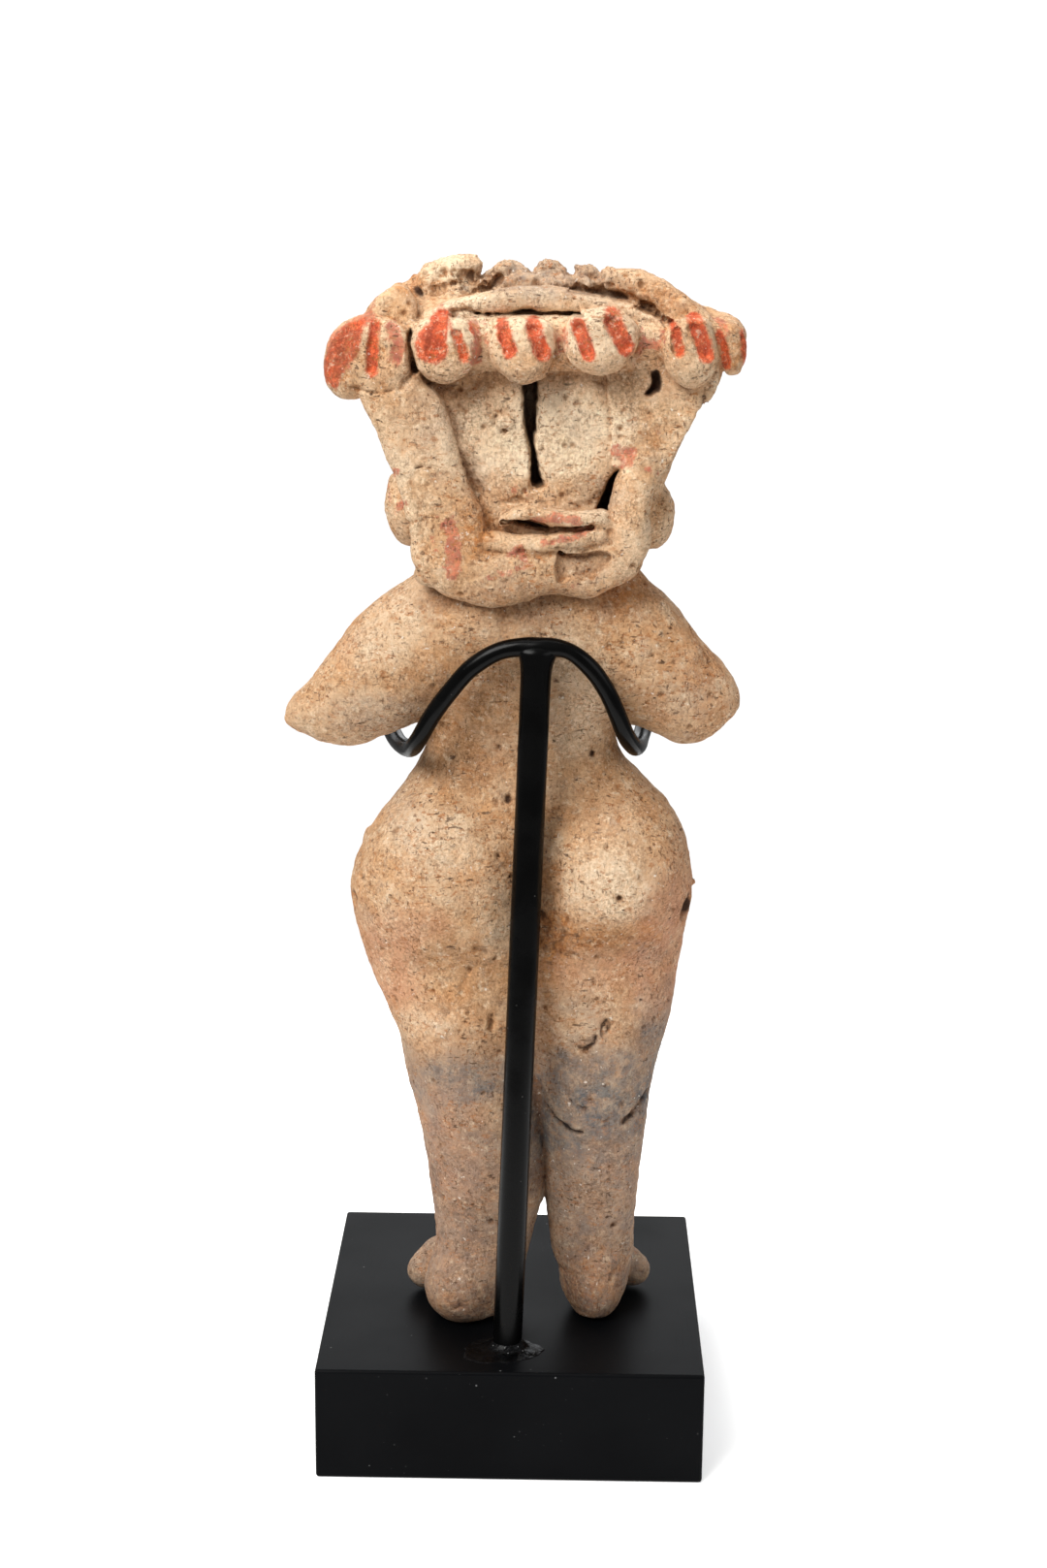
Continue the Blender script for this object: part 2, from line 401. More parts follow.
GOUGES_BACK = [
    # mouth-like opening between the two coils, and the crack that goes on from it
    ([(-2.4, 161.9), (-1.2, 161.9), (0.4, 161.6)], 0.30, 1.8, 0.7), ([(0.2, 161.6), (2.2, 161.1), (4.6, 160.6)], 0.46, 2.4, 1.2),
    ([(5.0, 160.5), (9.7, 160.95), (11.9, 161.4)], 0.14, 0.8, 0.5),
    ([(-3.6, 156.9), (1.0, 156.5), (6.2, 157.1)], 0.4, 0.25, 0.1), ([(-2.6, 164.6), (-0.6, 165.2), (1.4, 165.0)], 0.3, 0.45, 0.15),
    # ear slit and joint cracks
    ([(-16.5, 170.5), (-15.4, 170.85), (-14.3, 170.7)], 0.22, 0.8, 0.9), ([(14.7, 180.0), (14.85, 175.2)], 0.18, 0.3, 0.15),
    ([(-17.4, 168.8), (-16.0, 165.0), (-15.6, 161.0), (-14.9, 157.4)], 0.4, 0.35, 0.12), ([(-27.0, 183.4), (-23.0, 182.4), (-19.0, 183.2), (-16.9, 185.6)], 0.25, 0.5, 0.25),
    ([(-16.9, 186.0), (-17.3, 188.5), (-17.6, 190.2)], 0.3, 0.7, 0.35),
    ([(9.0, 198.9), (13.4, 198.0), (17.4, 197.1), (21.0, 195.9)], 0.2, 1.1, 0.5), ([(18.4, 196.2), (21.2, 195.2), (24.0, 193.8)], 0.3, 1.0, 0.8),
    ([(-15.6, 200.3), (-12.4, 201.2), (-9.2, 200.6)], 0.5, 0.45, 0.1), ([(-14.6, 198.2), (-11.0, 199.0), (-8.4, 200.4)], 0.4, 0.35, 0.1), ([(-15.0, 202.0), (-11.6, 202.2)], 0.35, 0.3, 0.1),
    ([(29.6, 183.6), (29.4, 180.4), (28.6, 177.4)], 0.3, 0.7, 0.5), ([(-5.0, 194.9), (-8.4, 195.5), (-13.0, 195.0)], 0.2, 0.6, 0.35),
    # dash and small curl on the field
    ([(-9.7, 180.5), (-8.8, 179.5)], 0.36, 0.45, 0.35), ([(-3.8, 178.6), (-4.0, 177.3), (-3.0, 176.2), (-1.4, 176.6)], 0.3, 0.5, 0.2), ([(-3.0, 177.6), (-1.6, 177.6)], 0.8, -0.45),
    ([(-0.8, 176.0), (-0.3, 175.0)], 0.25, 0.3, 0.2),
    # shoulders and back
    ([(-3.0, 137.5), (-5.5, 134.0), (-6.6, 130.0)], 0.3, 0.25, 0.2), ([(24.0, 147.0), (27.0, 142.5), (29.5, 139.5)], 1.2, -0.35),
    # buttock crease crust and cracks
    ([(3.4, 98.4), (4.6, 96.2), (6.0, 94.8)], 0.35, 0.8, 0.45), ([(8.4, 93.4), (8.0, 92.0), (6.4, 91.2)], 0.3, 0.6, 0.4), ([(5.6, 92.8), (7.2, 92.2)], 0.9, -0.5),
    ([(4.4, 96.4), (4.0, 93.0), (4.8, 90.6)], 0.3, 0.55, 0.5), ([(7.4, 88.4), (8.6, 89.4), (9.9, 89.4)], 0.3, 0.5, 0.4), ([(-6.6, 90.4), (-4.8, 89.8)], 0.3, 0.5, 0.3),
    # marks on the legs
    ([(15.6, 77.4), (16.2, 76.5), (15.5, 74.8), (14.8, 74.4), (14.9, 76.4), (15.6, 77.4)], 0.2, 0.6, 0.95), ([(13.9, 74.6), (13.8, 73.4), (12.9, 72.6), (11.8, 72.1), (11.0, 72.4)], 0.28, 0.7, 1.0),
    ([(11.7, 73.7), (13.1, 74.0)], 0.22, 0.4, 0.7), ([(5.9, 60.4), (7.0, 59.0), (8.6, 58.0), (10.1, 56.8), (11.9, 56.7)], 0.32, 0.7, 1.05), ([(9.7, 62.8), (11.2, 61.7), (12.5, 60.6)], 0.2, 0.5, 0.8),
    ([(22.8, 62.4), (21.5, 60.8), (20.2, 59.3), (18.9, 57.9)], 0.28, 0.7, 0.95), ([(20.6, 59.0), (19.2, 58.6)], 0.35, 0.45, 0.7), ([(17.4, 59.6), (15.8, 58.9)], 0.4, 0.35, 0.3),
    ([(4.4, 65.8), (5.9, 64.3), (7.1, 61.4)], 0.5, -0.3), ([(11.0, 56.3), (14.8, 55.6), (19.3, 55.2)], 0.5, -0.25), ([(5.7, 79.8), (13.1, 79.6), (20.4, 79.9)], 0.4, -0.22),
    ([(8.4, 65.6), (10.0, 64.0)], 0.26, 0.3, 0.3), ([(-3.8, 78.0), (-4.0, 75.2)], 0.34, 0.7, 0.7), ([(-12.2, 76.6), (-11.0, 76.0)], 0.5, -0.35),
    ([(-15.0, 78.6), (-13.0, 79.4), (-11.4, 78.2)], 0.6, 0.35, 0.1), ([(-13.4, 72.8), (-11.4, 73.4)], 0.5, 0.35, 0.15),
    ([(-12.9, 54.4), (-12.3, 52.6)], 0.28, 0.6, 1.0), ([(-7.4, 86.8), (-8.6, 84.0), (-9.0, 81.8)], 0.4, 0.3, 0.2), ([(-20.4, 79.6), (-19.8, 77.6)], 0.3, 0.4, 0.2),
    ([(-10.4, 33.4), (-8.2, 32.4), (-7.0, 31.4)], 0.25, 0.3, 0.2), ([(17.2, 28.0), (18.0, 29.6)], 0.4, 0.6, 0.4), ([(8.8, 28.4), (10.6, 28.8)], 0.4, 0.35, 0.2),
    ([(6.4, 44.0), (9.4, 43.6)], 0.35, 0.3, 0.1), ([(18.6, 39.0), (17.2, 38.0)], 0.35, 0.4, 0.2), ([(5.2, 70.8), (7.0, 70.4), (8.6, 69.4)], 0.3, 0.35, 0.2),
]
# pockets: (outline, depth, softness of the edge, darkness); the early ones are worked before the strips are laid on
POCKETS_EARLY = [
    ([(0.5, 187.0), (0.5, 181.0), (1.0, 176.6), (1.7, 173.4), (1.9, 170.9), (1.8, 169.0), (2.2, 167.4), (4.0, 167.5), (3.4, 169.6), (3.0, 171.6), (2.5, 174.0), (2.4, 175.6), (2.95, 176.4), (2.8, 180.0), (2.7, 187.0)], 6.5, 0.22, 0.9),
    ([(2.3, 187.0), (3.3, 187.0), (3.4, 181.0), (3.2, 176.4), (2.8, 174.2), (3.5, 171.6), (4.4, 169.4), (4.6, 167.6), (3.6, 166.7), (1.7, 166.9), (1.8, 169.6), (2.2, 173.0), (2.2, 178.0)], 1.3, 0.3, 0.42),
    ([(12.4, 163.2), (13.6, 166.4), (14.6, 168.8), (17.0, 170.8), (18.4, 169.0), (17.4, 165.6), (17.0, 163.0)], 4.0, 0.5, 1.0),
    ([(19.6, 183.4), (20.4, 184.8), (20.6, 187.6), (22.8, 187.4), (22.7, 184.6), (22.4, 182.4), (21.0, 182.3), (19.9, 182.4)], 4.4, 0.3, 1.0),
    ([(-12.0, 173.0), (-8.6, 172.6), (-6.8, 169.4), (-5.0, 166.8), (-6.6, 164.6), (-9.4, 167.0), (-12.0, 169.0)], 1.3, 1.2, 0.0),
    ([(9.0, 163.6), (12.0, 167.0), (15.0, 170.6), (18.0, 170.0), (18.0, 163.0)], 1.6, 2.4, 0.0),
]
POCKETS_BACK = [
    ([(6.4, 157.4), (9.0, 157.0), (14.6, 157.3), (14.9, 155.4), (13.6, 154.4), (12.2, 153.1), (9.4, 153.3), (6.5, 152.7)], 1.35, 0.3, 0.14),
    ([(-6.9, 194.85), (-6.4, 195.0), (-4.4, 194.98), (-2.1, 195.0), (-0.6, 195.4), (0.4, 195.85), (1.9, 195.85), (3.0, 195.3), (4.0, 195.15), (5.8, 195.45), (9.0, 195.45), (10.2, 195.0), (9.6, 194.7), (6.7, 194.85), (1.3, 194.7), (-2.1, 194.8)], 2.2, 0.4, 0.42),
    ([(7.5, 198.6), (9.5, 198.8), (12.0, 198.6), (14.6, 198.4), (16.6, 197.8), (17.6, 197.0), (16.4, 197.0), (14.0, 197.4), (11.4, 197.8), (9.0, 198.2)], 2.0, 0.3, 0.75),
    ([(-9.6, 197.4), (-7.0, 198.6), (-4.6, 199.9), (-3.4, 200.6), (-2.6, 199.8), (-3.4, 198.8), (-5.2, 198.4), (-7.4, 197.7)], 1.4, 0.35, 0.45),
    ([(-17.6, 198.3), (-16.8, 198.8), (-16.0, 198.2), (-15.6, 197.2), (-16.6, 197.2)], 2.4, 0.4, 1.0),
    ([(-18.1, 190.6), (-17.9, 192.0), (-17.3, 192.7), (-17.0, 191.6), (-17.4, 190.4)], 2.0, 0.4, 0.9),
    ([(-9.0, 200.2), (-8.2, 201.4), (-7.5, 200.6), (-7.9, 199.4)], 1.2, 0.4, 0.6),
    ([(20.9, 186.1), (22.0, 186.5), (22.6, 185.4), (22.8, 184.2), (22.5, 183.0), (21.7, 182.7), (21.1, 182.2), (20.1, 182.5), (20.9, 183.7), (21.2, 184.8)], 2.4, 0.4, 0.95),
]
# round pits on the back: (x, z, radius, depth)
PITS_BACK = [
    (-1.5, 115.0, 0.55, 1.1), (12.6, 122.2, 0.6, 0.9), (17.4, 100.6, 0.5, 1.0), (-2.9, 123.7, 0.35, 0.7), (-13.2, 105.2, 0.4, 0.4), (-20.4, 109.4, 0.35, 0.4),
    (4.9, 115.4, 0.3, 0.5), (7.2, 112.2, 0.45, 0.4), (22.4, 99.8, 0.5, 0.3), (-25.6, 101.0, 0.5, 0.5), (14.6, 92.2, 0.6, 0.3), (-3.8, 39.7, 0.4, 0.7), (-9.0, 25.0, 0.45, 0.4),
    (9.2, 181.0, 0.5, 0.4), (-17.6, 161.4, 0.4, 0.4), (13.6, 138.6, 0.35, 0.4), (-11.6, 27.4, 0.5, 0.3), (4.4, 36.0, 0.5, 0.3), (0.2, 157.6, 0.4, 0.4),
    (-11.0, 199.2, 0.4, 0.5), (-9.4, 198.6, 0.45, 0.5), (-10.6, 194.6, 0.5, 0.5), (13.2, 200.4, 0.5, 0.5), (19.4, 199.4, 0.4, 0.4), (17.4, 188.4, 0.6, 0.35),
]
GOUGES_FRONT = []
for _x, _y, _z in FRONT_PELLETS:
    GOUGES_FRONT += [([(_x - 2.1, _z + 2.9), (_x - 1.9, _z - 2.2)], 1.15, 1.0), ([(_x + 1.7, _z + 3.0), (_x + 2.2, _z - 2.2)], 1.15, 1.0)]
GOUGES_FRONT += [([(1.4, 96.0), (1.2, 92.0), (1.3, 86.0), (1.6, 74.0)], 0.5, 0.8), ([(-13, 128.6), (-8, 127.6), (-3, 128.6)], 0.5, 0.3), ([(5.6, 128.6), (10.6, 127.6), (15.6, 128.6)], 0.5, 0.3)]
for _s in (-1, 1):
    GOUGES_FRONT += [([(FACE_MID + _s * 4.4, 181.4), (FACE_MID + _s * 9.4, 182.6), (FACE_MID + _s * 14.6, 181.0)], 0.5, -0.45)]
GOUGES_FRONT += [([(FACE_MID - 4.4, 159.5), (FACE_MID + 4.4, 159.5)], 0.45, 0.9)]
PITS_FRONT = [(FACE_MID - 1.4, 167.4, 0.55, 0.9), (FACE_MID + 1.5, 167.4, 0.55, 0.9), (-9.2, 112.0, 0.45, 0.6), (12.0, 98.0, 0.4, 0.6), (6.0, 64.0, 0.45, 0.5), (-8.0, 142.0, 0.4, 0.5)]


def smooth_step(t):
    t = np.clip(t, 0, 1)
    return t * t * (3 - 2 * t)


def ragged(x, z):
    """Uneven shift of the edges of marks, in mm."""
    x, z = np.broadcast_arrays(x, z)
    q = np.stack([x.ravel(), np.full(x.size, 3.0), z.ravel()], 1).astype(F)
    return (0.20 * noise(q, 1.6, 201) + 0.14 * noise(q, 0.8, 202)).reshape(x.shape)


def relief(x, z, gouges, pockets, pits):
    """How far each place of the XZ plane is carved in, in mm."""
    out = np.zeros(np.broadcast(x, z).shape, F)
    xs, zs = x.ravel(), z.ravel()

    def window(x0, x1, z0, z1):
        return (slice(int(np.searchsorted(zs, z0)), int(np.searchsorted(zs, z1))), slice(int(np.searchsorted(xs, x0)), int(np.searchsorted(xs, x1))))
    for row in gouges:
        points, w, depth = row[:3]
        P = np.array(points)
        s = window(P[:, 0].min() - w - 1, P[:, 0].max() + w + 1, P[:, 1].min() - w - 1, P[:, 1].max() + w + 1)
        if s[0].stop <= s[0].start or s[1].stop <= s[1].start:
            continue
        xw, zw = x[:, s[1]], z[s[0], :]
        d = line_distance(points, xw, zw) + (ragged(xw, zw) if w < 0.8 else 0.6 * ragged(xw, zw))
        out[s] += depth * smooth_step((w + 0.28 - d) / max(0.55, 0.8 * w))
    for outline, depth, soft, _dark in pockets:
        P = rounded(outline, 3)
        s = window(P[:, 0].min() - 1, P[:, 0].max() + 1, P[:, 1].min() - 1, P[:, 1].max() + 1)
        if s[0].stop <= s[0].start or s[1].stop <= s[1].start:
            continue
        xw, zw = x[:, s[1]], z[s[0], :]
        d = outline_distance(P, xw, zw) + 0.6 * ragged(xw, zw)
        out[s] += depth * smooth_step(-(d - 0.1) / soft * 0.5 + 0.1)
    for px, pz, r, depth in pits:
        s = window(px - r - 1, px + r + 1, pz - r - 1, pz + r + 1)
        if s[0].stop <= s[0].start or s[1].stop <= s[1].start:
            continue
        xw, zw = x[:, s[1]], z[s[0], :]
        d = np.hypot(xw - px, (zw - pz) * 0.8) + ragged(xw, zw)
        out[s] += depth * smooth_step((r + 0.25 - d) / max(r, 0.45))
    return out


def groove_depth(x, z):
    """Depth of the grooves pressed in the pellets, running out at each pellet's rim."""
    inside = np.full(np.broadcast(x, z).shape, -9.0)
    for shape in PELLET_SHAPES:
        inside = np.maximum(inside, -outline_distance(rounded(shape[0], 3), x, z))
    return relief(x, z, GROOVES, [], []) * smooth_step((inside - 0.1) / 1.8)


def carve(c, gouges, pockets, pits, front_gouges, front_pits, grooves=False):
    xx, zz = c.X[None, :], c.Z[:, None]
    back, front = relief(xx, zz, gouges, pockets, pits), relief(xx, zz, front_gouges, [], front_pits)
    if grooves:
        back = back + groove_depth(xx, zz).astype(F)
    wb, wf = smooth_step((-4.0 - c.Y) / 2.5).astype(F), smooth_step((c.Y + 1.0) / 2.5).astype(F)
    c.v += back[:, None, :] * wb[None, :, None] + front[:, None, :] * wf[None, :, None]
    return c.v


def body_field(X, Y, Z):
    sole = 20.3
    c = Clay(X, Y, Z)
    c.press(LEG_LEFT, 0.6)
    c.press(LEG_RIGHT, 0.6)
    # the legs grow together above the knees
    high = c.Z > 56
    up = Clay(X, Y, c.Z[high])
    up.press(LEG_LEFT, 2.0)
    up.press(LEG_RIGHT, 2.0)
    blend = smooth_step((c.Z[high] - 56) / 5)[:, None, None].astype(F)
    c.v[high] = c.v[high] * (1 - blend) + up.v * blend
    c.press(TRUNK, 4)
    for f in BUTTOCKS:
        c.press(f, 7)
    c.cut(CLEFT, 4)
    c.cut(UNDER_FOLD, 4)
    c.press(BELLY, 8)
    c.press(ARM_LEFT, 2.5)
    c.press(ARM_RIGHT, 2.5)
    for f in BREASTS:
        c.press(f, 2.5)
    c.cut(NAVEL, 1)
    for f in HEELS + FEET:
        c.press(f, 3)
    for f in TOES:
        c.press(f, 1.2)
    c.press(lump(-25.4, -2.6, 105.4, 1.0, 2.0, 1.6), 0.8)
    c.cut(lump(-28.3, -10.6, 96.1, 1.5, 2.6, 1.8, 2.6), 0.3)
    c.cut(lump(29.4, -10.8, 95.3, 2.0, 2.6, 2.4, 2.6), 0.3)
    c.press(lump(30.2, -3.4, 98.3, 1.1, 1.2, 0.8), 0.5)
    c.v = np.maximum(c.v, sole - c.z)
    return carve(c, GOUGES_BACK, POCKETS_BACK, PITS_BACK, GOUGES_FRONT, PITS_FRONT)


def head_field(X, Y, Z):
    h = Clay(X, Y, Z)
    h.press(HEAD, 1.0)
    h.cut(UNDER_BAND, 1.6)
    carve(h, [], POCKETS_EARLY, [], [], [])
    for f in EARS:
        h.press(f, 0.5)
    h.press(SLAB_RIGHT, 0.3)
    h.press(COIL_RIGHT, 0.6)
    h.press(STRIP_LEFT, 0.4)
    for f in CHIN:
        h.press(f, 0.7)
    h.press(lump(10.4, -13.4, 157.0, 6.4, 3.6, 2.8), 0.8)
    h.press(LIP_UPPER, 0.4)
    h.press(LIP_LOWER, 0.5)
    for f in FACE:
        h.press(f, 1.4)
    for f in EYE_SLITS:
        h.cut(f, 0.8)
    h.press(SHELF, 0.8)
    h.press(WALL_BACK, 0.5)
    for f in (BAND_BACK, BAND_RIGHT, BAND_FRONT, BAND_LEFT):
        h.press(f, 0.7)
    h.press(ARCH, 0.3)
    h.press(LOBE, 0.3)
    for f, k in CREST:
        h.press(f, k)
    h.press(DIAGONAL, 0.25)
    for f in PELLETS:
        h.press(f, 0.35)
    for x, y, z in FRONT_PELLETS:
        h.press(lump(x, y, z, 5.0, 4.0, 5.0, 2.3), 0.5)
    h.v = np.maximum(h.v, h.z - 203.8)
    return carve(h, GOUGES_BACK, POCKETS_BACK, PITS_BACK, GOUGES_FRONT, PITS_FRONT, True)


# ------------------------------------------------------------------ level surface to a closed mesh

def split_table():
    table = np.zeros(256, bool)
    for mask in range(1, 256):
        seen = mask & -mask
        grown = True
        while grown:
            grown = False
            for c in range(8):
                if seen >> c & 1:
                    for axis in (1, 2, 4):
                        d = 1 << (c ^ axis)
                        if mask & d and not seen & d:
                            seen |= d
                            grown = True
        table[mask] = seen != mask
    return table


def surface(V, X, Y, Z):
    """Closed quad mesh of V = 0 on the grid: (points, quads)."""
    bad_table = split_table()
    bad_table = bad_table | bad_table[::-1]
    offsets = [(c & 1, c >> 1 & 1, c >> 2 & 1) for c in range(8)]

    def codes(S):
        out = np.zeros((S.shape[0] - 1, S.shape[1] - 1, S.shape[2] - 1), np.uint8)
        for c, (i, j, k) in enumerate(offsets):
            out |= S[k:S.shape[0] - 1 + k, j:S.shape[1] - 1 + j, i:S.shape[2] - 1 + i].astype(np.uint8) << c
        return out
    for _ in range(40):
        code = codes(V < 0)
        k, j, i = np.nonzero(bad_table[code])
        if not len(k):
            break
        corner = np.stack([V[k + o[2], j + o[1], i + o[0]] for o in offsets])
        corner = np.where(corner < 0, np.inf, corner)
        pick = corner.argmin(0)
        off = np.array(offsets)[pick]
        V[k + off[:, 2], j + off[:, 1], i + off[:, 0]] = -1e-3
    code = codes(V < 0)
    k, j, i = np.nonzero((code > 0) & (code < 255))
    index = np.full(code.shape, -1, np.int64)
    index[k, j, i] = np.arange(len(k))
    total, count = np.zeros((len(k), 3), np.float64), np.zeros(len(k))
    for c, o in enumerate(offsets):
        for axis in range(3):
            if o[axis]:
                continue
            e = list(o)
            e[axis] = 1
            va, vb = V[k + o[2], j + o[1], i + o[0]], V[k + e[2], j + e[1], i + e[0]]
            m = (va < 0) != (vb < 0)
            t = np.where(m, va / np.where(m, va - vb, 1), 0)
            px = X[i + o[0]] + (t * (X[i + 1] - X[i]) if axis == 0 else 0)
            py = Y[j + o[1]] + (t * (Y[j + 1] - Y[j]) if axis == 1 else 0)
            pz = Z[k + o[2]] + (t * (Z[k + 1] - Z[k]) if axis == 2 else 0)
            total += np.where(m[:, None], np.stack([px, py, pz], 1), 0)
            count += m
    P = total / count[:, None]
    S = V < 0
    quads = []

    def emit(k, j, i, cells, flip):
        q = np.stack([index[k + dk, j + dj, i + di] for dk, dj, di in cells], 1)
        q[flip] = q[flip][:, ::-1]
        quads.append(q)
    inner = (slice(1, -1),) * 3
    k, j, i = (a + 1 for a in np.nonzero((S[:, :, :-1] != S[:, :, 1:])[1:-1, 1:-1, 1:]))
    i = i
    emit(k, j, i, [(-1, -1, 0), (-1, 0, 0), (0, 0, 0), (0, -1, 0)], ~S[k, j, i])
    k, j, i = (a + 1 for a in np.nonzero((S[:, :-1, :] != S[:, 1:, :])[1:-1, 1:, 1:-1]))
    emit(k, j, i, [(-1, 0, -1), (0, 0, -1), (0, 0, 0), (-1, 0, 0)], ~S[k, j, i])
    k, j, i = (a + 1 for a in np.nonzero((S[:-1, :, :] != S[1:, :, :])[1:, 1:-1, 1:-1]))
    emit(k, j, i, [(0, -1, -1), (0, -1, 0), (0, 0, 0), (0, 0, -1)], ~S[k, j, i])
    return P.astype(F), np.concatenate(quads)


def normals_of(P, T):
    """Point normals of a triangle mesh."""
    n = np.cross(P[T[:, 1]] - P[T[:, 0]], P[T[:, 2]] - P[T[:, 0]])
    out = np.stack([sum(np.bincount(T[:, c], n[:, a], len(P)) for c in range(3)) for a in range(3)], 1)
    return out / np.maximum(np.linalg.norm(out, axis=1, keepdims=True), 1e-12)


def neighbours_mean(P, E, deg):
    out = np.stack([np.bincount(E[:, 0], P[E[:, 1], a], len(P)) + np.bincount(E[:, 1], P[E[:, 0], a], len(P)) for a in range(P.shape[1])], 1)
    return out / deg[:, None]


def mesh_object(name, points_mm, faces, smooth=True):
    me = bpy.data.meshes.new(name)
    me.from_pydata([tuple(float(c) * MM for c in p) for p in points_mm], [], [tuple(int(i) for i in f) for f in faces])
    me.validate(verbose=False)
    me.polygons.foreach_set("use_smooth", [smooth] * len(me.polygons))
    me.update()
    o = bpy.data.objects.new(name, me)
    scene.collection.objects.link(o)
    return o


def fast_mesh(name, P, Q):
    """A quad or triangle mesh from arrays, in metres."""
    me = bpy.data.meshes.new(name)
    n = Q.shape[1]
    me.vertices.add(len(P))
    me.vertices.foreach_set("co", (P * MM).astype(F).ravel())
    me.loops.add(Q.size)
    me.loops.foreach_set("vertex_index", Q.astype(np.int32).ravel())
    me.polygons.add(len(Q))
    me.polygons.foreach_set("loop_start", np.arange(0, Q.size, n, dtype=np.int32))
    me.polygons.foreach_set("use_smooth", np.ones(len(Q), bool))
    me.update(calc_edges=True)
    o = bpy.data.objects.new(name, me)
    scene.collection.objects.link(o)
    return o


def applied(o):
    """The object's mesh with its modifiers applied, in place."""
    bpy.context.view_layer.update()
    dg = bpy.context.evaluated_depsgraph_get()
    me = bpy.data.meshes.new_from_object(o.evaluated_get(dg))
    me.name = o.name
    o.modifiers.clear()
    o.data = me
    return o


def arrays(o):
    me = o.data
    P = np.zeros(len(me.vertices) * 3, F)
    me.vertices.foreach_get("co", P)
    me.calc_loop_triangles()
    T = np.zeros(len(me.loop_triangles) * 3, np.int32)
    me.loop_triangles.foreach_get("vertices", T)
    E = np.zeros(len(me.edges) * 2, np.int32)
    me.edges.foreach_get("vertices", E)
    return P.reshape(-1, 3) / MM, T.reshape(-1, 3), E.reshape(-1, 2)


def steps(lo, hi, step):
    out = [lo]
    while out[-1] < hi:
        out.append(out[-1] + step(out[-1]))
    return np.array(out, F)


def main_shell(P, Q):
    """The largest connected surface, without the bubbles closed inside the clay and loose specks."""
    group = np.arange(len(P))
    for _ in range(2000):
        low = group[Q].min(1)
        new = group.copy()
        for k in range(4):
            np.minimum.at(new, Q[:, k], low)
        new = new[new]
        if (new == group).all():
            break
        group = new
    label = group[Q[:, 0]]
    names, count = np.unique(label, return_counts=True)
    Q = Q[label == names[count.argmax()]]
    used = np.zeros(len(P), bool)
    used[Q] = True
    return P[used], (np.cumsum(used) - 1)[Q]


def build_clay(name, field, X, Y, Z, limit, holes, seed):
    V = field(X, Y, Z)
    P, Q = surface(V, X, Y, Z)
    T = np.concatenate([Q[:, [0, 1, 2]], Q[:, [0, 2, 3]]])
    N = normals_of(P, T)
    # hand-made unevenness and grain
    low = fractal(P, 13.0, 11, 2)
    mid = fractal(P, 4.6, 21, 3, 0.55)
    fine = fractal(P, 1.5, 31, 2, 0.6)
    tiny = noise(P, 0.7, 35)
    rough = smooth_step((fractal(P, 17.0, 41, 2) + 0.5) * 0.8)
    head = smooth_step((P[:, 2] - 147) / 5)
    crest = smooth_step((P[:, 2] - 195.6) / 2.5) * smooth_step((P[:, 1] + 10.5) / 2) * smooth_step((17.5 - P[:, 0]) / 4)
    broken = 1 - np.abs(fractal(P, 3.4, 43, 3, 0.6)) * 1.6
    move = (0.26 - 0.06 * head) * low + 0.17 * mid + (0.065 + 0.05 * rough + 0.02 * head + 0.12 * crest) * fine + (0.03 + 0.035 * head) * tiny
    move += crest * (0.62 * (broken - 0.45) - 0.15)
    crust = soft_spot(P, 6.4, 93.0, 3.0, 4.0, -1) + soft_spot(P, -6.4, 161.0, 2.2, 4.2, -1) + soft_spot(P, 18.0, 150.0, 3.4, 1.8, -1)
    move += np.clip(crust, 0, 1) * (0.16 * noise(P, 1.0, 45) + 0.1 * noise(P, 0.55, 46))
    sole = smooth_step((P[:, 2] - 20.35) / 1.6)
    P2 = P + N * (move * sole)[:, None]
    # small pits, scattered by a fixed draw
    rng = np.random.RandomState(seed)
    from mathutils import kdtree
    picks = rng.choice(len(P2), holes, replace=False)
    size = rng.uniform(0.16, 0.42, len(picks)) * (1 + 0.9 * (rng.uniform(size=len(picks)) > 0.95))
    tree = kdtree.KDTree(len(P2))
    for n_, p in enumerate(P2.tolist()):
        tree.insert(p, n_)
    tree.balance()
    dent = np.zeros(len(P2), F)
    for c, r in zip(picks, size):
        if P2[c, 2] < 22 or (P2[c, 2] > 180 and P2[c, 1] < -14.6):
            continue
        for _, i_, d in tree.find_range(P2[c].tolist(), r + 0.3):
            dent[i_] = max(dent[i_], (0.3 + 0.8 * r) * float(smooth_step((r + 0.3 - d) / (r + 0.1))))
    P2 = P2 - N * dent[:, None]
    lo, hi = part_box("figure")
    P2 = np.clip(P2, np.array(lo) / MM + 0.02, np.array(hi) / MM - 0.02)
    P2, Q = main_shell(P2, Q)
    o = fast_mesh(name, P2, Q)
    tris = 2 * len(Q)
    if tris > limit:
        m = o.modifiers.new("thin", "DECIMATE")
        m.ratio = limit / tris
        m.use_collapse_triangulate = True
        applied(o)
    o.data.polygons.foreach_set("use_smooth", np.ones(len(o.data.polygons), bool))
    print(name, tris, "->", len(o.data.polygons), "faces", len(o.data.vertices), "points")
    return o


def build_body():
    k = 1.0
    return build_clay("clay_body", body_field, steps(-41.0, 39.4, lambda v: 0.5 * k), steps(-24.0, 17.4, lambda v: (0.48 if v < -4 else 0.6) * k), steps(18.4, 155.6, lambda v: 0.52 * k), 197000, 420, 7)


def build_head():
    k = 1.0
    return build_clay("clay_head", head_field, steps(-33.4, 39.0, lambda v: 0.32 * k), steps(-23.0, 17.4, lambda v: (0.32 if v < -3 else 0.5) * k), steps(146.0, 205.4, lambda v: 0.32 * k), 197000, 260, 17)


# ------------------------------------------------------------------ colour fields of the clay, one number per point

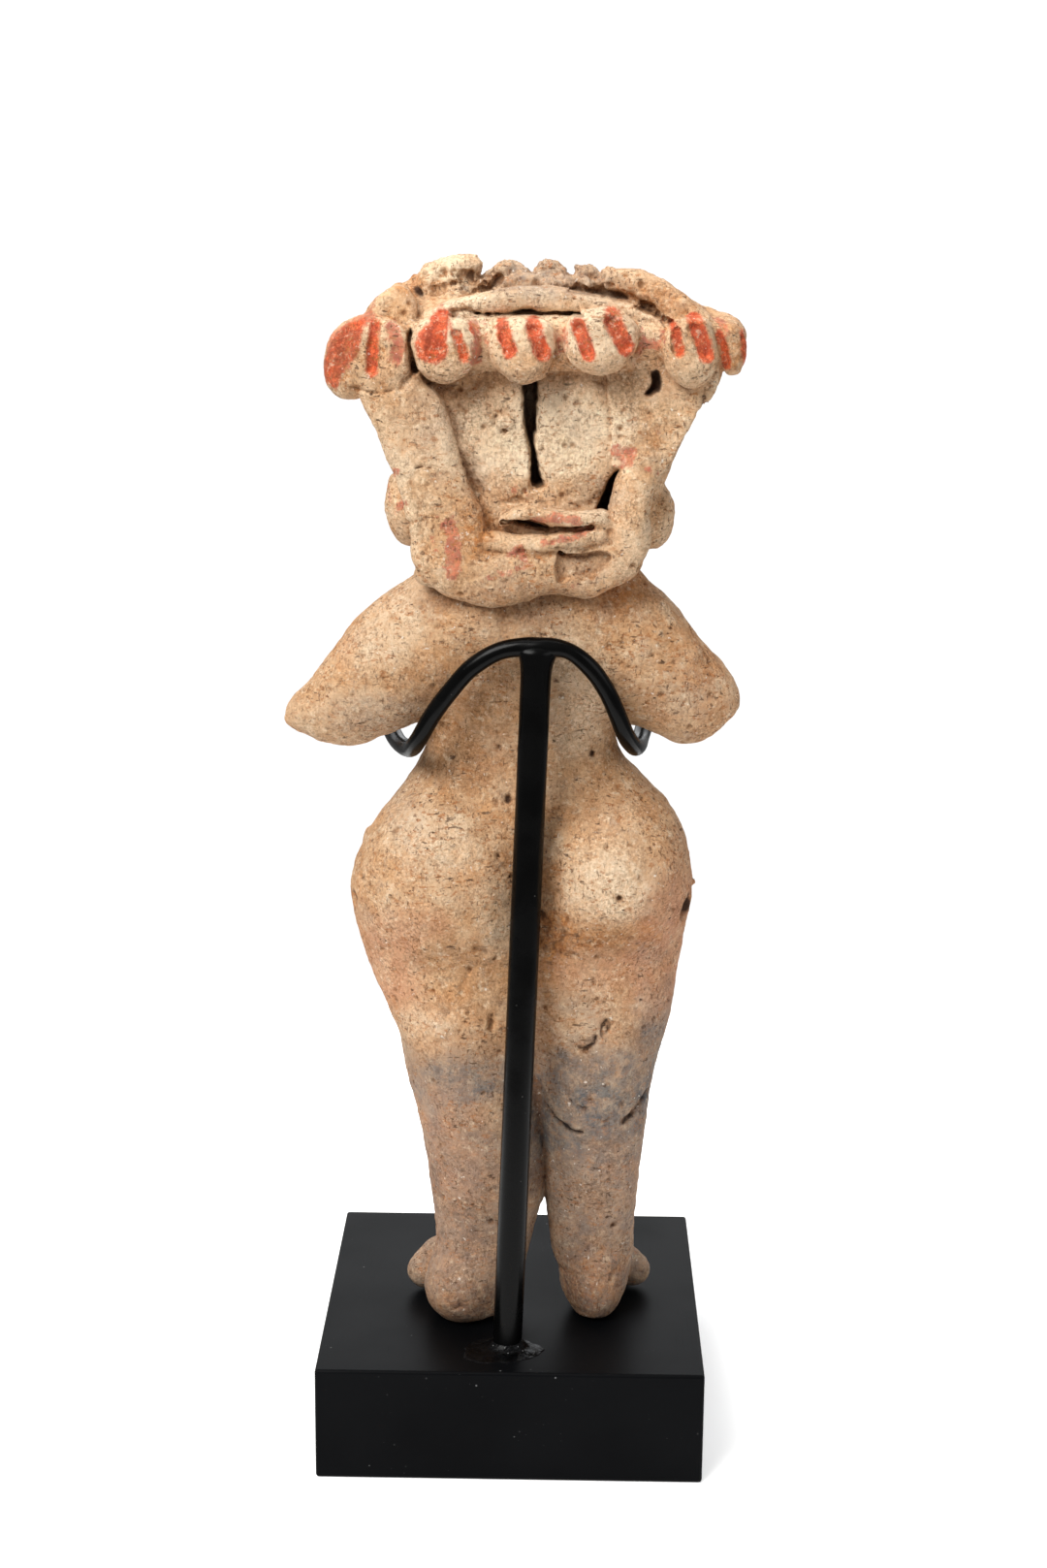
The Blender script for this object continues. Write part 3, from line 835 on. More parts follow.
def soft_spot(P, x, z, rx, rz, side=0, turn=0.0):
    c, s = math.cos(turn), math.sin(turn)
    dx, dz = P[:, 0] - x, P[:, 2] - z
    u, v = (c * dx + s * dz) / rx, (-s * dx + c * dz) / rz
    w = smooth_step(1.5 - np.hypot(u, v))
    if side:
        w = w * smooth_step((side * P[:, 1] + 3) / 3)
    return w


def crack_depth(P):
    """How dark each point is from lying in a crack, pocket or pin hole of the back or front."""
    x, y, z = P[:, 0], P[:, 1], P[:, 2]
    out = np.zeros(len(P), F)

    def raise_to(mask, values):
        out[mask] = np.maximum(out[mask], values)
    for rows, side in ((GOUGES_BACK, -1), (GOUGES_FRONT, 1)):
        ok = y * side > (3 if side < 0 else 0)
        for row in rows:
            points, w, depth = row[:3]
            dark = row[3] if len(row) > 3 else 0.5 * depth
            if depth <= 0 or w > 0.9:
                continue
            A = np.array(points)
            m = np.nonzero(ok & (x > A[:, 0].min() - 1.5) & (x < A[:, 0].max() + 1.5) & (z > A[:, 1].min() - 1.5) & (z < A[:, 1].max() + 1.5))[0]
            if len(m):
                d = line_distance(points, x[m], z[m]) + ragged(x[m], z[m])
                raise_to(m, dark * smooth_step((w + 0.12 - d) / 0.45))
    for rows, ok in ((POCKETS_BACK, y < -3), (POCKETS_EARLY, (y < -3) & (y > -13.2))):
        for outline, depth, soft, dark in rows:
            A = np.array(outline)
            m = np.nonzero(ok & (x > A[:, 0].min() - 1) & (x < A[:, 0].max() + 1) & (z > A[:, 1].min() - 1) & (z < A[:, 1].max() + 1))[0]
            if dark > 0 and len(m):
                d = outline_distance(rounded(outline, 3), x[m], z[m]) + 0.6 * ragged(x[m], z[m])
                w = dark * smooth_step((0.2 - d) / 0.5)
                if rows is POCKETS_EARLY:
                    w = w * smooth_step((y[m] + 13.4) / 2.2)
                raise_to(m, w)
    for rows, side in ((PITS_BACK, -1), (PITS_FRONT, 1)):
        ok = y * side > (3 if side < 0 else 0)
        for px, pz, r, depth in rows:
            m = np.nonzero(ok & (np.abs(x - px) < 1.5) & (np.abs(z - pz) < 1.5))[0]
            if len(m):
                raise_to(m, min(1.0, 0.9 * depth) * smooth_step((r + 0.05 - np.hypot(x[m] - px, (z[m] - pz) * 0.8) - ragged(x[m], z[m])) / 0.35))
    # the holes at the two hips
    for cx, cy, cz, rx, ry, rz, dark in ((29.2, -10.8, 95.8, 2.1, 3.0, 2.3, 1.1), (-28.2, -10.8, 97.0, 1.5, 2.8, 1.0, 0.6)):
        q = np.sqrt(((x - cx) / rx) ** 2 + ((y - cy) / ry) ** 2 + ((z - cz) / rz) ** 2)
        m = np.nonzero(q < 1.4)[0]
        raise_to(m, dark * smooth_step((1.12 - q[m] + 0.5 * ragged(x[m], z[m])) / 0.3))
    return out


def colour_fields(o):
    P, T, E = arrays(o)
    N = normals_of(P, T)
    x, z = P[:, 0], P[:, 2]
    deg = np.maximum(np.bincount(E.ravel(), minlength=len(P)), 1)
    # how far each point lies under its smoothed surroundings
    edge = float(np.linalg.norm(P[E[:, 0]] - P[E[:, 1]], axis=1).mean())
    per = (0.5 / edge) ** 2
    near = P.astype(float)
    n_small, n_wide = max(2, round(3 * per)), round(26 * per)
    for n_ in range(n_wide):
        near = neighbours_mean(near, E, deg)
        if n_ == n_small - 1:
            first = near.copy()
    hollow_small = ((first - P) * N).sum(1)
    hollow_wide = ((near - P) * N).sum(1)
    crack = crack_depth(P)
    between = smooth_step((P[:, 1] + 14.4) / 1.6) * smooth_step((6.8 - x) / 1.2) * smooth_step((x - 1.5) / 1.5) * smooth_step((66.0 - z) / 3) * smooth_step((z - 42.0) / 3)
    crack = np.maximum(crack, 0.42 * between)

    back = (P[:, 1] < -2) & (N[:, 1] < 0.25)
    jitter = 0.35 * noise(P, 1.6, 51) + 0.2 * noise(P, 0.8, 52)

    def line(points, w, ok=True):
        return np.where(ok, w - line_distance(points, x, z), -5)

    def area(points, ok=True, per=3):
        return np.where(ok, -outline_distance(rounded(points, per), x, z), -5)

    pel = back & (z > 180)
    slip = np.full(len(P), -5.0)
    for pts, w in [([(-22.9, 193.2), (-23.2, 190.5), (-23.4, 185.9)], 1.05), ([(-12.6, 194.0), (-12.9, 191.5), (-13.8, 189.0)], 1.8), ([(-10.0, 192.0), (-9.1, 189.9), (-8.6, 188.2)], 1.0),
                   ([(-2.6, 193.3), (-2.2, 191.3), (-1.5, 189.5)], 1.35), ([(2.2, 193.5), (3.0, 191.3), (3.8, 189.2)], 1.5), ([(9.3, 193.5), (10.1, 191.4), (10.9, 189.1)], 1.35),
                   ([(14.5, 194.8), (15.7, 192.2), (16.8, 190.2)], 1.6), ([(24.6, 193.3), (24.9, 191.4), (25.2, 189.4)], 0.95), ([(27.7, 194.2), (28.7, 191.6), (29.6, 189.0)], 1.5),
                   ([(31.8, 192.2), (32.7, 189.6), (33.1, 187.0)], 0.9), ([(35.7, 192.0), (36.3, 187.6)], 0.8), ([(-11.0, 193.6), (-10.4, 192.2)], 0.5), ([(-7.9, 193.4), (-7.3, 192.0)], 0.45)]:
        slip = np.maximum(slip, line(pts, w, pel))
    slip = np.maximum(slip, area([(-24.3, 194.2), (-28.4, 192.6), (-30.9, 188.6), (-31.3, 184.2), (-29.2, 182.6), (-27.9, 186.0), (-25.4, 188.4), (-24.9, 191.6)], pel))
    slip = np.maximum(slip, area([(-16.6, 191.4), (-16.4, 188.4), (-14.4, 187.2), (-12.2, 187.4), (-10.9, 189.2), (-11.4, 192.0), (-13.0, 194.2), (-15.2, 193.4)], pel) - 0.15)
    for fx, fy, fz in FRONT_PELLETS:
        for dx in (-2.0, 2.0):
            slip = np.maximum(slip, np.where(P[:, 1] > 2, 1.25 - line_distance([(fx + dx, fz + 2.9), (fx + dx, fz - 2.3)], x, z), -5))
    # thin worn film of the same slip, purplish or pinkish
    film = np.full(len(P), -5.0)
    for pts, w in [([(-20.2, 192.6), (-19.2, 190.4), (-19.4, 188.0)], 1.3), ([(-12.4, 195.0), (-12.6, 192.5), (-12.9, 189.5)], 1.4), ([(-7.2, 193.6), (-6.6, 190.8), (-7.0, 187.6)], 1.0),
                   ([(-24.0, 194.4), (-29.4, 191.0), (-31.4, 185.4)], 1.2), ([(-27.6, 191.0), (-28.6, 187.0)], 1.6), ([(7.2, 192.6), (7.1, 188.6)], 0.6), ([(19.4, 193.2), (19.5, 190.2), (18.2, 187.4)], 0.6),
                   ([(6.0, 192.6), (6.2, 189.2)], 0.5), ([(22.6, 192.4), (22.2, 189.4)], 0.5), ([(20.0, 190.6), (21.8, 190.4)], 1.1), ([(37.0, 190.6), (36.6, 187.2)], 0.6),
                   ([(-5.6, 193.4), (-5.2, 190.0)], 0.6), ([(2.4, 162.0), (6.0, 163.0), (9.6, 162.6)], 0.95), ([(4.4, 158.9), (8.7, 159.7), (12.0, 161.2)], 0.75), ([(-1.2, 156.8), (0.6, 158.2), (1.2, 156.2)], 0.9),
                   ([(-4.6, 153.2), (-1.6, 154.2), (2.6, 155.6)], 0.5), ([(8.9, 151.9), (9.8, 152.4)], 0.5), ([(-11.0, 161.6), (-10.4, 158.6), (-10.0, 155.2), (-10.7, 153.8)], 1.35),
                   ([(-12.3, 161.2), (-11.4, 162.5)], 0.55), ([(-14.2, 162.4), (-12.6, 162.9)], 0.35), ([(-0.9, 167.0), (-0.4, 166.2)], 0.6), ([(1.0, 166.2), (1.8, 165.6)], 0.35), ([(16.2, 173.0), (17.8, 172.6)], 1.7),
                   ([(20.8, 170.9), (22.2, 170.0)], 0.5), ([(-13.0, 157.0), (-14.0, 159.4)], 0.5), ([(-8.6, 186.0), (-9.4, 193.8)], 0.3), ([(15.2, 170.9), (18.4, 171.2)], 0.35)]:
        film = np.maximum(film, line(pts, w, back))
    edge = (P[:, 1] < 2) & (x < -17.5)
    film = np.maximum(film, line([(-20.4, 162.6), (-19.2, 163.8), (-18.2, 164.9)], 0.55, edge & (N[:, 1] < 0.6)))
    film = np.maximum(film, line([(-20.3, 168.8), (-19.6, 170.0)], 0.8, edge))
    film = np.maximum(film, line([(-21.4, 166.8), (-21.3, 164.4)], 0.5, edge))
    film = np.maximum(film, line([(-23.6, 197.0), (-23.8, 194.4), (-22.8, 193.6)], 0.8, edge))
    film = np.maximum(film, np.where((P[:, 1] < 0) & (N[:, 2] > 0.1), 0.8 - line_distance([(24.8, 200.4), (27.8, 198.0), (31.2, 195.4)], x, z), -5))
    film = np.maximum(film, line([(31.0, 195.0), (32.6, 193.4), (33.0, 192.4)], 0.7, P[:, 1] < -3))
    for fx, fy, fz in FRONT_PELLETS[::2]:
        film = np.maximum(film, np.where(P[:, 1] > 2, 1.0 - line_distance([(fx + 4.2, fz + 1.9), (fx + 4.0, fz - 2.3)], x, z), -5))

    wob = 2.6 * noise(P, 7.0, 61) + 1.6 * noise(P, 3.0, 62)
    # blackening from the fire across the legs, more on the right leg and lower there
    left_leg = smooth_step((4 - x) / 3)
    smoke_l = np.exp(-((z - 66.0 + 0.8 * wob) / 6.6) ** 2)
    smoke_l = smoke_l * (0.66 + 0.2 * smooth_step((x + 12) / 6)) + 0.56 * smooth_step((66 + wob - z) / 14)
    smoke_r = smooth_step((86.0 + 1.3 * wob - z) / 21) * (0.62 + 0.38 * smooth_step((z - 42.0 + 2 * wob) / 14))
    smoke = left_leg * smoke_l * (0.95 + 0.16 * noise(P, 5, 63)) + (1 - left_leg) * smoke_r * (0.95 + 0.2 * noise(P, 4, 64))
    smoke = smoke * np.where(P[:, 1] > 3, 0.55, 1.0)
    for sx, sz, rx, rz in ((-4.8, 65.8, 3.4, 2.6), (-11.9, 67.2, 3.6, 2.4), (-9.9, 63.0, 3.4, 2.2), (-1.2, 201.4, 0.6, 0.5), (0.2, 200.0, 0.6, 0.5), (4.0, 200.9, 0.7, 0.5), (-8.9, 198.5, 0.5, 0.5), (-10.0, 194.6, 0.5, 0.4)):
        smoke = smoke + (0.12 if rx > 1 else 0.6) * soft_spot(P, sx, sz, rx, rz, -1)
    smoke = np.clip(smoke, 0, 1)
    # thin brown dirt on the neck, the trunk between the arms and the lower legs
    dim = 0.75 * soft_spot(P, 1.0, 148.6, 17.0, 3.0, -1) + 0.5 * soft_spot(P, -2.0, 136.0, 12.0, 9.0, -1) + 0.6 * soft_spot(P, -4.0, 122.0, 11.0, 8.0, -1) + 0.35 * soft_spot(P, -12.0, 118.0, 6.0, 7.0, -1)
    dim += 0.08 * soft_spot(P, 15.0, 140.0, 5.0, 8.0, -1) + 0.6 * soft_spot(P, 6.0, 96.0, 3.0, 9.0, -1) + 0.5 * soft_spot(P, 13.0, 91.0, 12.0, 3.6, -1) + 0.3 * soft_spot(P, -12.0, 89.0, 12.0, 4.0, -1)
    dim += 0.8 * soft_spot(P, -28.4, 187.6, 4.0, 6.0, -1) + 0.75 * soft_spot(P, 14.0, 26.0, 7.0, 7.0) + 0.3 * soft_spot(P, -10.0, 44.0, 7.0, 14.0) + 0.5 * smooth_step((38 - z) / 12) + 0.45 * smooth_step((64 - z) / 8) + 0.5 * soft_spot(P, -16.0, 183.0, 4.0, 3.0, -1) + 0.3 * soft_spot(P, 20.0, 149.0, 6.0, 3.0, -1) + 0.55 * soft_spot(P, 2.0, 154.0, 18.0, 4.5, -1) + 0.35 * soft_spot(P, -8.0, 162.0, 4.0, 6.0, -1)
    dim += 0.3 * soft_spot(P, 3.0, 198.0, 22.0, 4.0) + 0.4 * soft_spot(P, 3.0, 185.2, 20.0, 1.6, -1) + 0.35 * soft_spot(P, 20.0, 176.0, 5.0, 5.0, -1)
    dim += 0.8 * between + 0.35 * soft_spot(P, 22.0, 197.8, 6.0, 2.6, -1) + 0.3 * soft_spot(P, 16.0, 93.0, 9.0, 3.4, -1)
    dim = np.clip(dim + 0.3 * noise(P, 6, 111) + 0.15 * noise(P, 2.6, 112) - 0.05, 0, 1)
    # grey film on the crest, by the deep places of the head and on a few rubbed places
    grey = 1.1 * soft_spot(P, 4.6, 200.4, 11.6, 2.8) + 0.4 * soft_spot(P, 16.0, 197.6, 4, 1.6) + 0.4 * soft_spot(P, -6.6, 169.0, 2.2, 3.2, -1) + 0.55 * soft_spot(P, 12.0, 166.0, 5.0, 3.2, -1)
    grey += 0.35 * soft_spot(P, -14.0, 178.0, 4, 6, -1) + 0.35 * soft_spot(P, -12, 168.8, 2.5, 2, -1) + 0.45 * soft_spot(P, 10.6, 155.2, 4.5, 2.0, -1) + 0.5 * soft_spot(P, 22.4, 89.4, 4.0, 2.4, -1, -0.5)
    grey += 0.35 * soft_spot(P, 2.0, 145.6, 8.0, 2.4, -1) + 0.45 * soft_spot(P, -22.0, 128.8, 8.0, 4.5, -1) + 0.3 * soft_spot(P, 27.0, 133.0, 6, 4, -1) + 0.4 * soft_spot(P, -19.0, 112.0, 3.5, 5.0, -1, 0.5)
    grey += 0.25 * soft_spot(P, 0.0, 152.0, 9.0, 2.0, -1) + 0.3 * soft_spot(P, 8.4, 89.2, 2.2, 1.2, -1)
    grey = np.clip(grey + 0.22 * noise(P, 6, 71), 0, 1)
    # pale places: worn high parts and chalky skin
    pale = 0.9 * soft_spot(P, 15.4, 101.5, 7.5, 6.0, -1) + 0.55 * soft_spot(P, -13.0, 109.0, 7.0, 5.0, -1) + 0.6 * soft_spot(P, -21.0, 143.0, 7.5, 4.5, -1, 0.5) + 0.75 * soft_spot(P, 4.0, 176.0, 15, 7.5, -1)
    pale += 0.5 * soft_spot(P, 1.0, 192.4, 25, 3.4, -1) + 0.35 * soft_spot(P, -18.6, 175.0, 4, 7, -1) + 0.45 * soft_spot(P, 3.0, 196.6, 17, 2.4, -1) + 0.4 * soft_spot(P, -16.0, 149.0, 6, 3, -1)
    pale += 0.5 * soft_spot(P, -14.6, 76.0, 5, 4.0, -1) + 0.3 * soft_spot(P, 4, 163.4, 12, 1.4, -1) + 0.35 * soft_spot(P, -3.0, 99.0, 3.0, 14, -1)
    pale += 0.8 * soft_spot(P, -11.4, 200.8, 5.0, 2.6, -1) + 0.3 * soft_spot(P, -24.0, 129.0, 8.0, 4.0, -1) + 0.25 * soft_spot(P, -18.0, 113.0, 5.0, 7.0, -1) + 0.75 * soft_spot(P, 9.5, 134.0, 6.0, 11.0, -1)
    pale = np.clip(pale + 0.25 * noise(P, 8, 81) + 0.12 * noise(P, 3.2, 82), 0, 1)
    # pinkish fired skin on hips, thighs and shins
    pink = 0.9 * soft_spot(P, 26.0, 88.0, 6.5, 13.0) + 0.7 * soft_spot(P, -22.0, 86.0, 6.5, 9.0) + 0.65 * soft_spot(P, -12, 46, 9, 20) + 0.5 * soft_spot(P, 12, 88, 9, 5, -1) + 0.3 * soft_spot(P, 14, 44, 9, 14)
    pink += 0.5 * soft_spot(P, -16.0, 95.0, 6, 4, -1) + 0.35 * soft_spot(P, 30, 104, 5, 9)
    pink = np.clip(pink + 0.15 * noise(P, 9, 91), 0, 1)
    # orange-brown earth in joints, under edges and on some places
    rust = 0.7 * soft_spot(P, 34.0, 190.0, 3.5, 4.0) + 0.35 * soft_spot(P, 24.0, 94.0, 7.0, 6.0, -1) + 1.0 * soft_spot(P, 17.6, 149.8, 4.2, 3.0, -1) + 0.35 * soft_spot(P, 16.0, 93.4, 9.0, 3.4, -1) + 0.3 * soft_spot(P, 22.0, 197.8, 6.0, 2.6, -1) + 0.45 * soft_spot(P, -8.0, 148.6, 10.0, 2.6, -1) + 0.6 * soft_spot(P, 10.0, 92.6, 8.0, 1.8, -1) + 1.1 * soft_spot(P, 6.6, 92.8, 3.4, 4.4, -1) + 0.75 * soft_spot(P, -9.0, 24.4, 7, 4.5) + 0.95 * soft_spot(P, 13.6, 27.0, 6, 7.0)
    rust += 0.7 * soft_spot(P, 5.2, 78.0, 2.4, 10, -1) + 0.35 * soft_spot(P, -5.0, 88.0, 4.5, 5, -1) + 0.8 * soft_spot(P, -18.0, 199.2, 2.0, 1.6) + 0.85 * soft_spot(P, -6.6, 161.0, 2.6, 4.4, -1)
    rust += 0.55 * soft_spot(P, 28.0, 138.0, 5.0, 5.0, -1, 0.6) + 0.35 * soft_spot(P, 33.0, 129.5, 4, 3, -1) + 0.4 * soft_spot(P, -12.0, 135.8, 6, 4, -1) + 1.0 * soft_spot(P, -29.0, 95.8, 2.2, 1.8) + 0.8 * soft_spot(P, 30.0, 93.0, 2.0, 1.6) + 0.4 * soft_spot(P, 30.0, 98.0, 2.0, 2.0)
    rust += 0.5 * soft_spot(P, 4.8, 104.0, 3.0, 5.0, -1) + 0.45 * soft_spot(P, -1.0, 108.0, 2.6, 7.0, -1) + 0.3 * soft_spot(P, 24.0, 196.4, 5, 2, 0, -0.5) + 0.35 * soft_spot(P, -29.0, 141.0, 3.0, 3.0, -1)
    rust = np.clip(rust + 0.25 * noise(P, 5, 101), 0, 1)
    hollow = np.clip(0.45 * smooth_step(hollow_small / 0.12) + 0.8 * smooth_step(hollow_wide / 0.8), 0, 1)
    proud = smooth_step(-hollow_wide / 0.55)
    head = smooth_step((z - 146) / 3) if o.name.endswith("head") else 0 * z

    for name, values in (("dim", dim), ("slip", slip + 0.34 * jitter), ("film", film + jitter), ("smoke", smoke), ("grey", grey), ("pale", pale), ("pink", pink), ("rust", rust), ("hollow", hollow), ("proud", proud),
                         ("head", head), ("crack", crack)):
        a = o.data.attributes.new(name, "FLOAT", "POINT")
        a.data.foreach_set("value", np.asarray(values, F))
    return o


# ------------------------------------------------------------------ materials

def srgb(r, g, b, k=1.0):
    out = []
    for c in (r, g, b):
        c = c / 255
        out.append((c / 12.92 if c <= 0.04045 else ((c + 0.055) / 1.055) ** 2.4) * k)
    return (*out, 1.0)


class Nodes:
    def __init__(self, name):
        self.mat = bpy.data.materials.new(name)
        self.mat.use_nodes = True
        self.t = self.mat.node_tree
        self.t.nodes.clear()
        self.out = self.t.nodes.new("ShaderNodeOutputMaterial")
        self.bsdf = self.t.nodes.new("ShaderNodeBsdfPrincipled")
        self.t.links.new(self.bsdf.outputs[0], self.out.inputs["Surface"])
        tc = self.t.nodes.new("ShaderNodeTexCoord")
        mp = self.t.nodes.new("ShaderNodeMapping")
        mp.inputs["Scale"].default_value = (1000, 1000, 1000)
        self.t.links.new(tc.outputs["Object"], mp.inputs["Vector"])
        self.mm = mp.outputs["Vector"]

    def put(self, socket, value):
        if hasattr(value, "links") or isinstance(value, bpy.types.NodeSocket):
            self.t.links.new(value, socket)
        else:
            socket.default_value = value

    def noise(self, size, detail=3.0, rough=0.55, vector=None, distortion=0.0, shift=0.0):
        n = self.t.nodes.new("ShaderNodeTexNoise")
        n.inputs["Scale"].default_value = 1.0 / size
        n.inputs["Detail"].default_value = detail
        n.inputs["Roughness"].default_value = rough
        n.inputs["Distortion"].default_value = distortion
        v = vector or self.mm
        if shift:
            m = self.t.nodes.new("ShaderNodeVectorMath")
            m.operation = "ADD"
            self.t.links.new(v, m.inputs[0])
            m.inputs[1].default_value = (shift, shift * 1.7, -shift)
            v = m.outputs[0]
        self.t.links.new(v, n.inputs["Vector"])
        return n.outputs[0]

    def stretched(self, scale, turn):
        n = self.t.nodes.new("ShaderNodeMapping")
        n.inputs["Scale"].default_value = scale
        n.inputs["Rotation"].default_value = turn
        self.t.links.new(self.mm, n.inputs["Vector"])
        return n.outputs["Vector"]

    def cells(self, size, feature="F1", random=1.0, shift=0.0):
        n = self.t.nodes.new("ShaderNodeTexVoronoi")
        n.feature = feature
        n.inputs["Scale"].default_value = 1.0 / size
        n.inputs["Randomness"].default_value = random
        v = self.mm
        if shift:
            m = self.t.nodes.new("ShaderNodeVectorMath")
            m.operation = "ADD"
            self.t.links.new(v, m.inputs[0])
            m.inputs[1].default_value = (shift, -shift, shift * 0.6)
            v = m.outputs[0]
        self.t.links.new(v, n.inputs["Vector"])
        return n.outputs["Distance"]

    def attribute(self, name):
        n = self.t.nodes.new("ShaderNodeAttribute")
        n.attribute_type = "GEOMETRY"
        n.attribute_name = name
        return n.outputs["Fac"]

    def math(self, op, a, b=0.0, clamp=False):
        n = self.t.nodes.new("ShaderNodeMath")
        n.operation = op
        n.use_clamp = clamp
        self.put(n.inputs[0], a)
        self.put(n.inputs[1], b)
        return n.outputs[0]

    def ramp(self, value, lo, hi, out_lo=0.0, out_hi=1.0, kind="SMOOTHSTEP"):
        n = self.t.nodes.new("ShaderNodeMapRange")
        n.interpolation_type = kind
        self.put(n.inputs["Value"], value)
        n.inputs["From Min"].default_value = lo
        n.inputs["From Max"].default_value = hi
        n.inputs["To Min"].default_value = out_lo
        n.inputs["To Max"].default_value = out_hi
        return n.outputs[0]

    def mix(self, fac, a, b, kind="MIX"):
        n = self.t.nodes.new("ShaderNodeMix")
        n.data_type = "RGBA"
        n.blend_type = kind
        n.clamp_factor = True
        self.put(n.inputs[0], fac)
        self.put(n.inputs[6], a)
        self.put(n.inputs[7], b)
        return n.outputs[2]

    def bump(self, height, strength, distance_mm, normal=None):
        n = self.t.nodes.new("ShaderNodeBump")
        n.inputs["Strength"].default_value = strength
        n.inputs["Distance"].default_value = distance_mm * MM
        self.t.links.new(height, n.inputs["Height"])
        if normal is not None:
            self.t.links.new(normal, n.inputs["Normal"])
        return n.outputs[0]

    def set(self, name, value):
        self.put(self.bsdf.inputs[name], value)


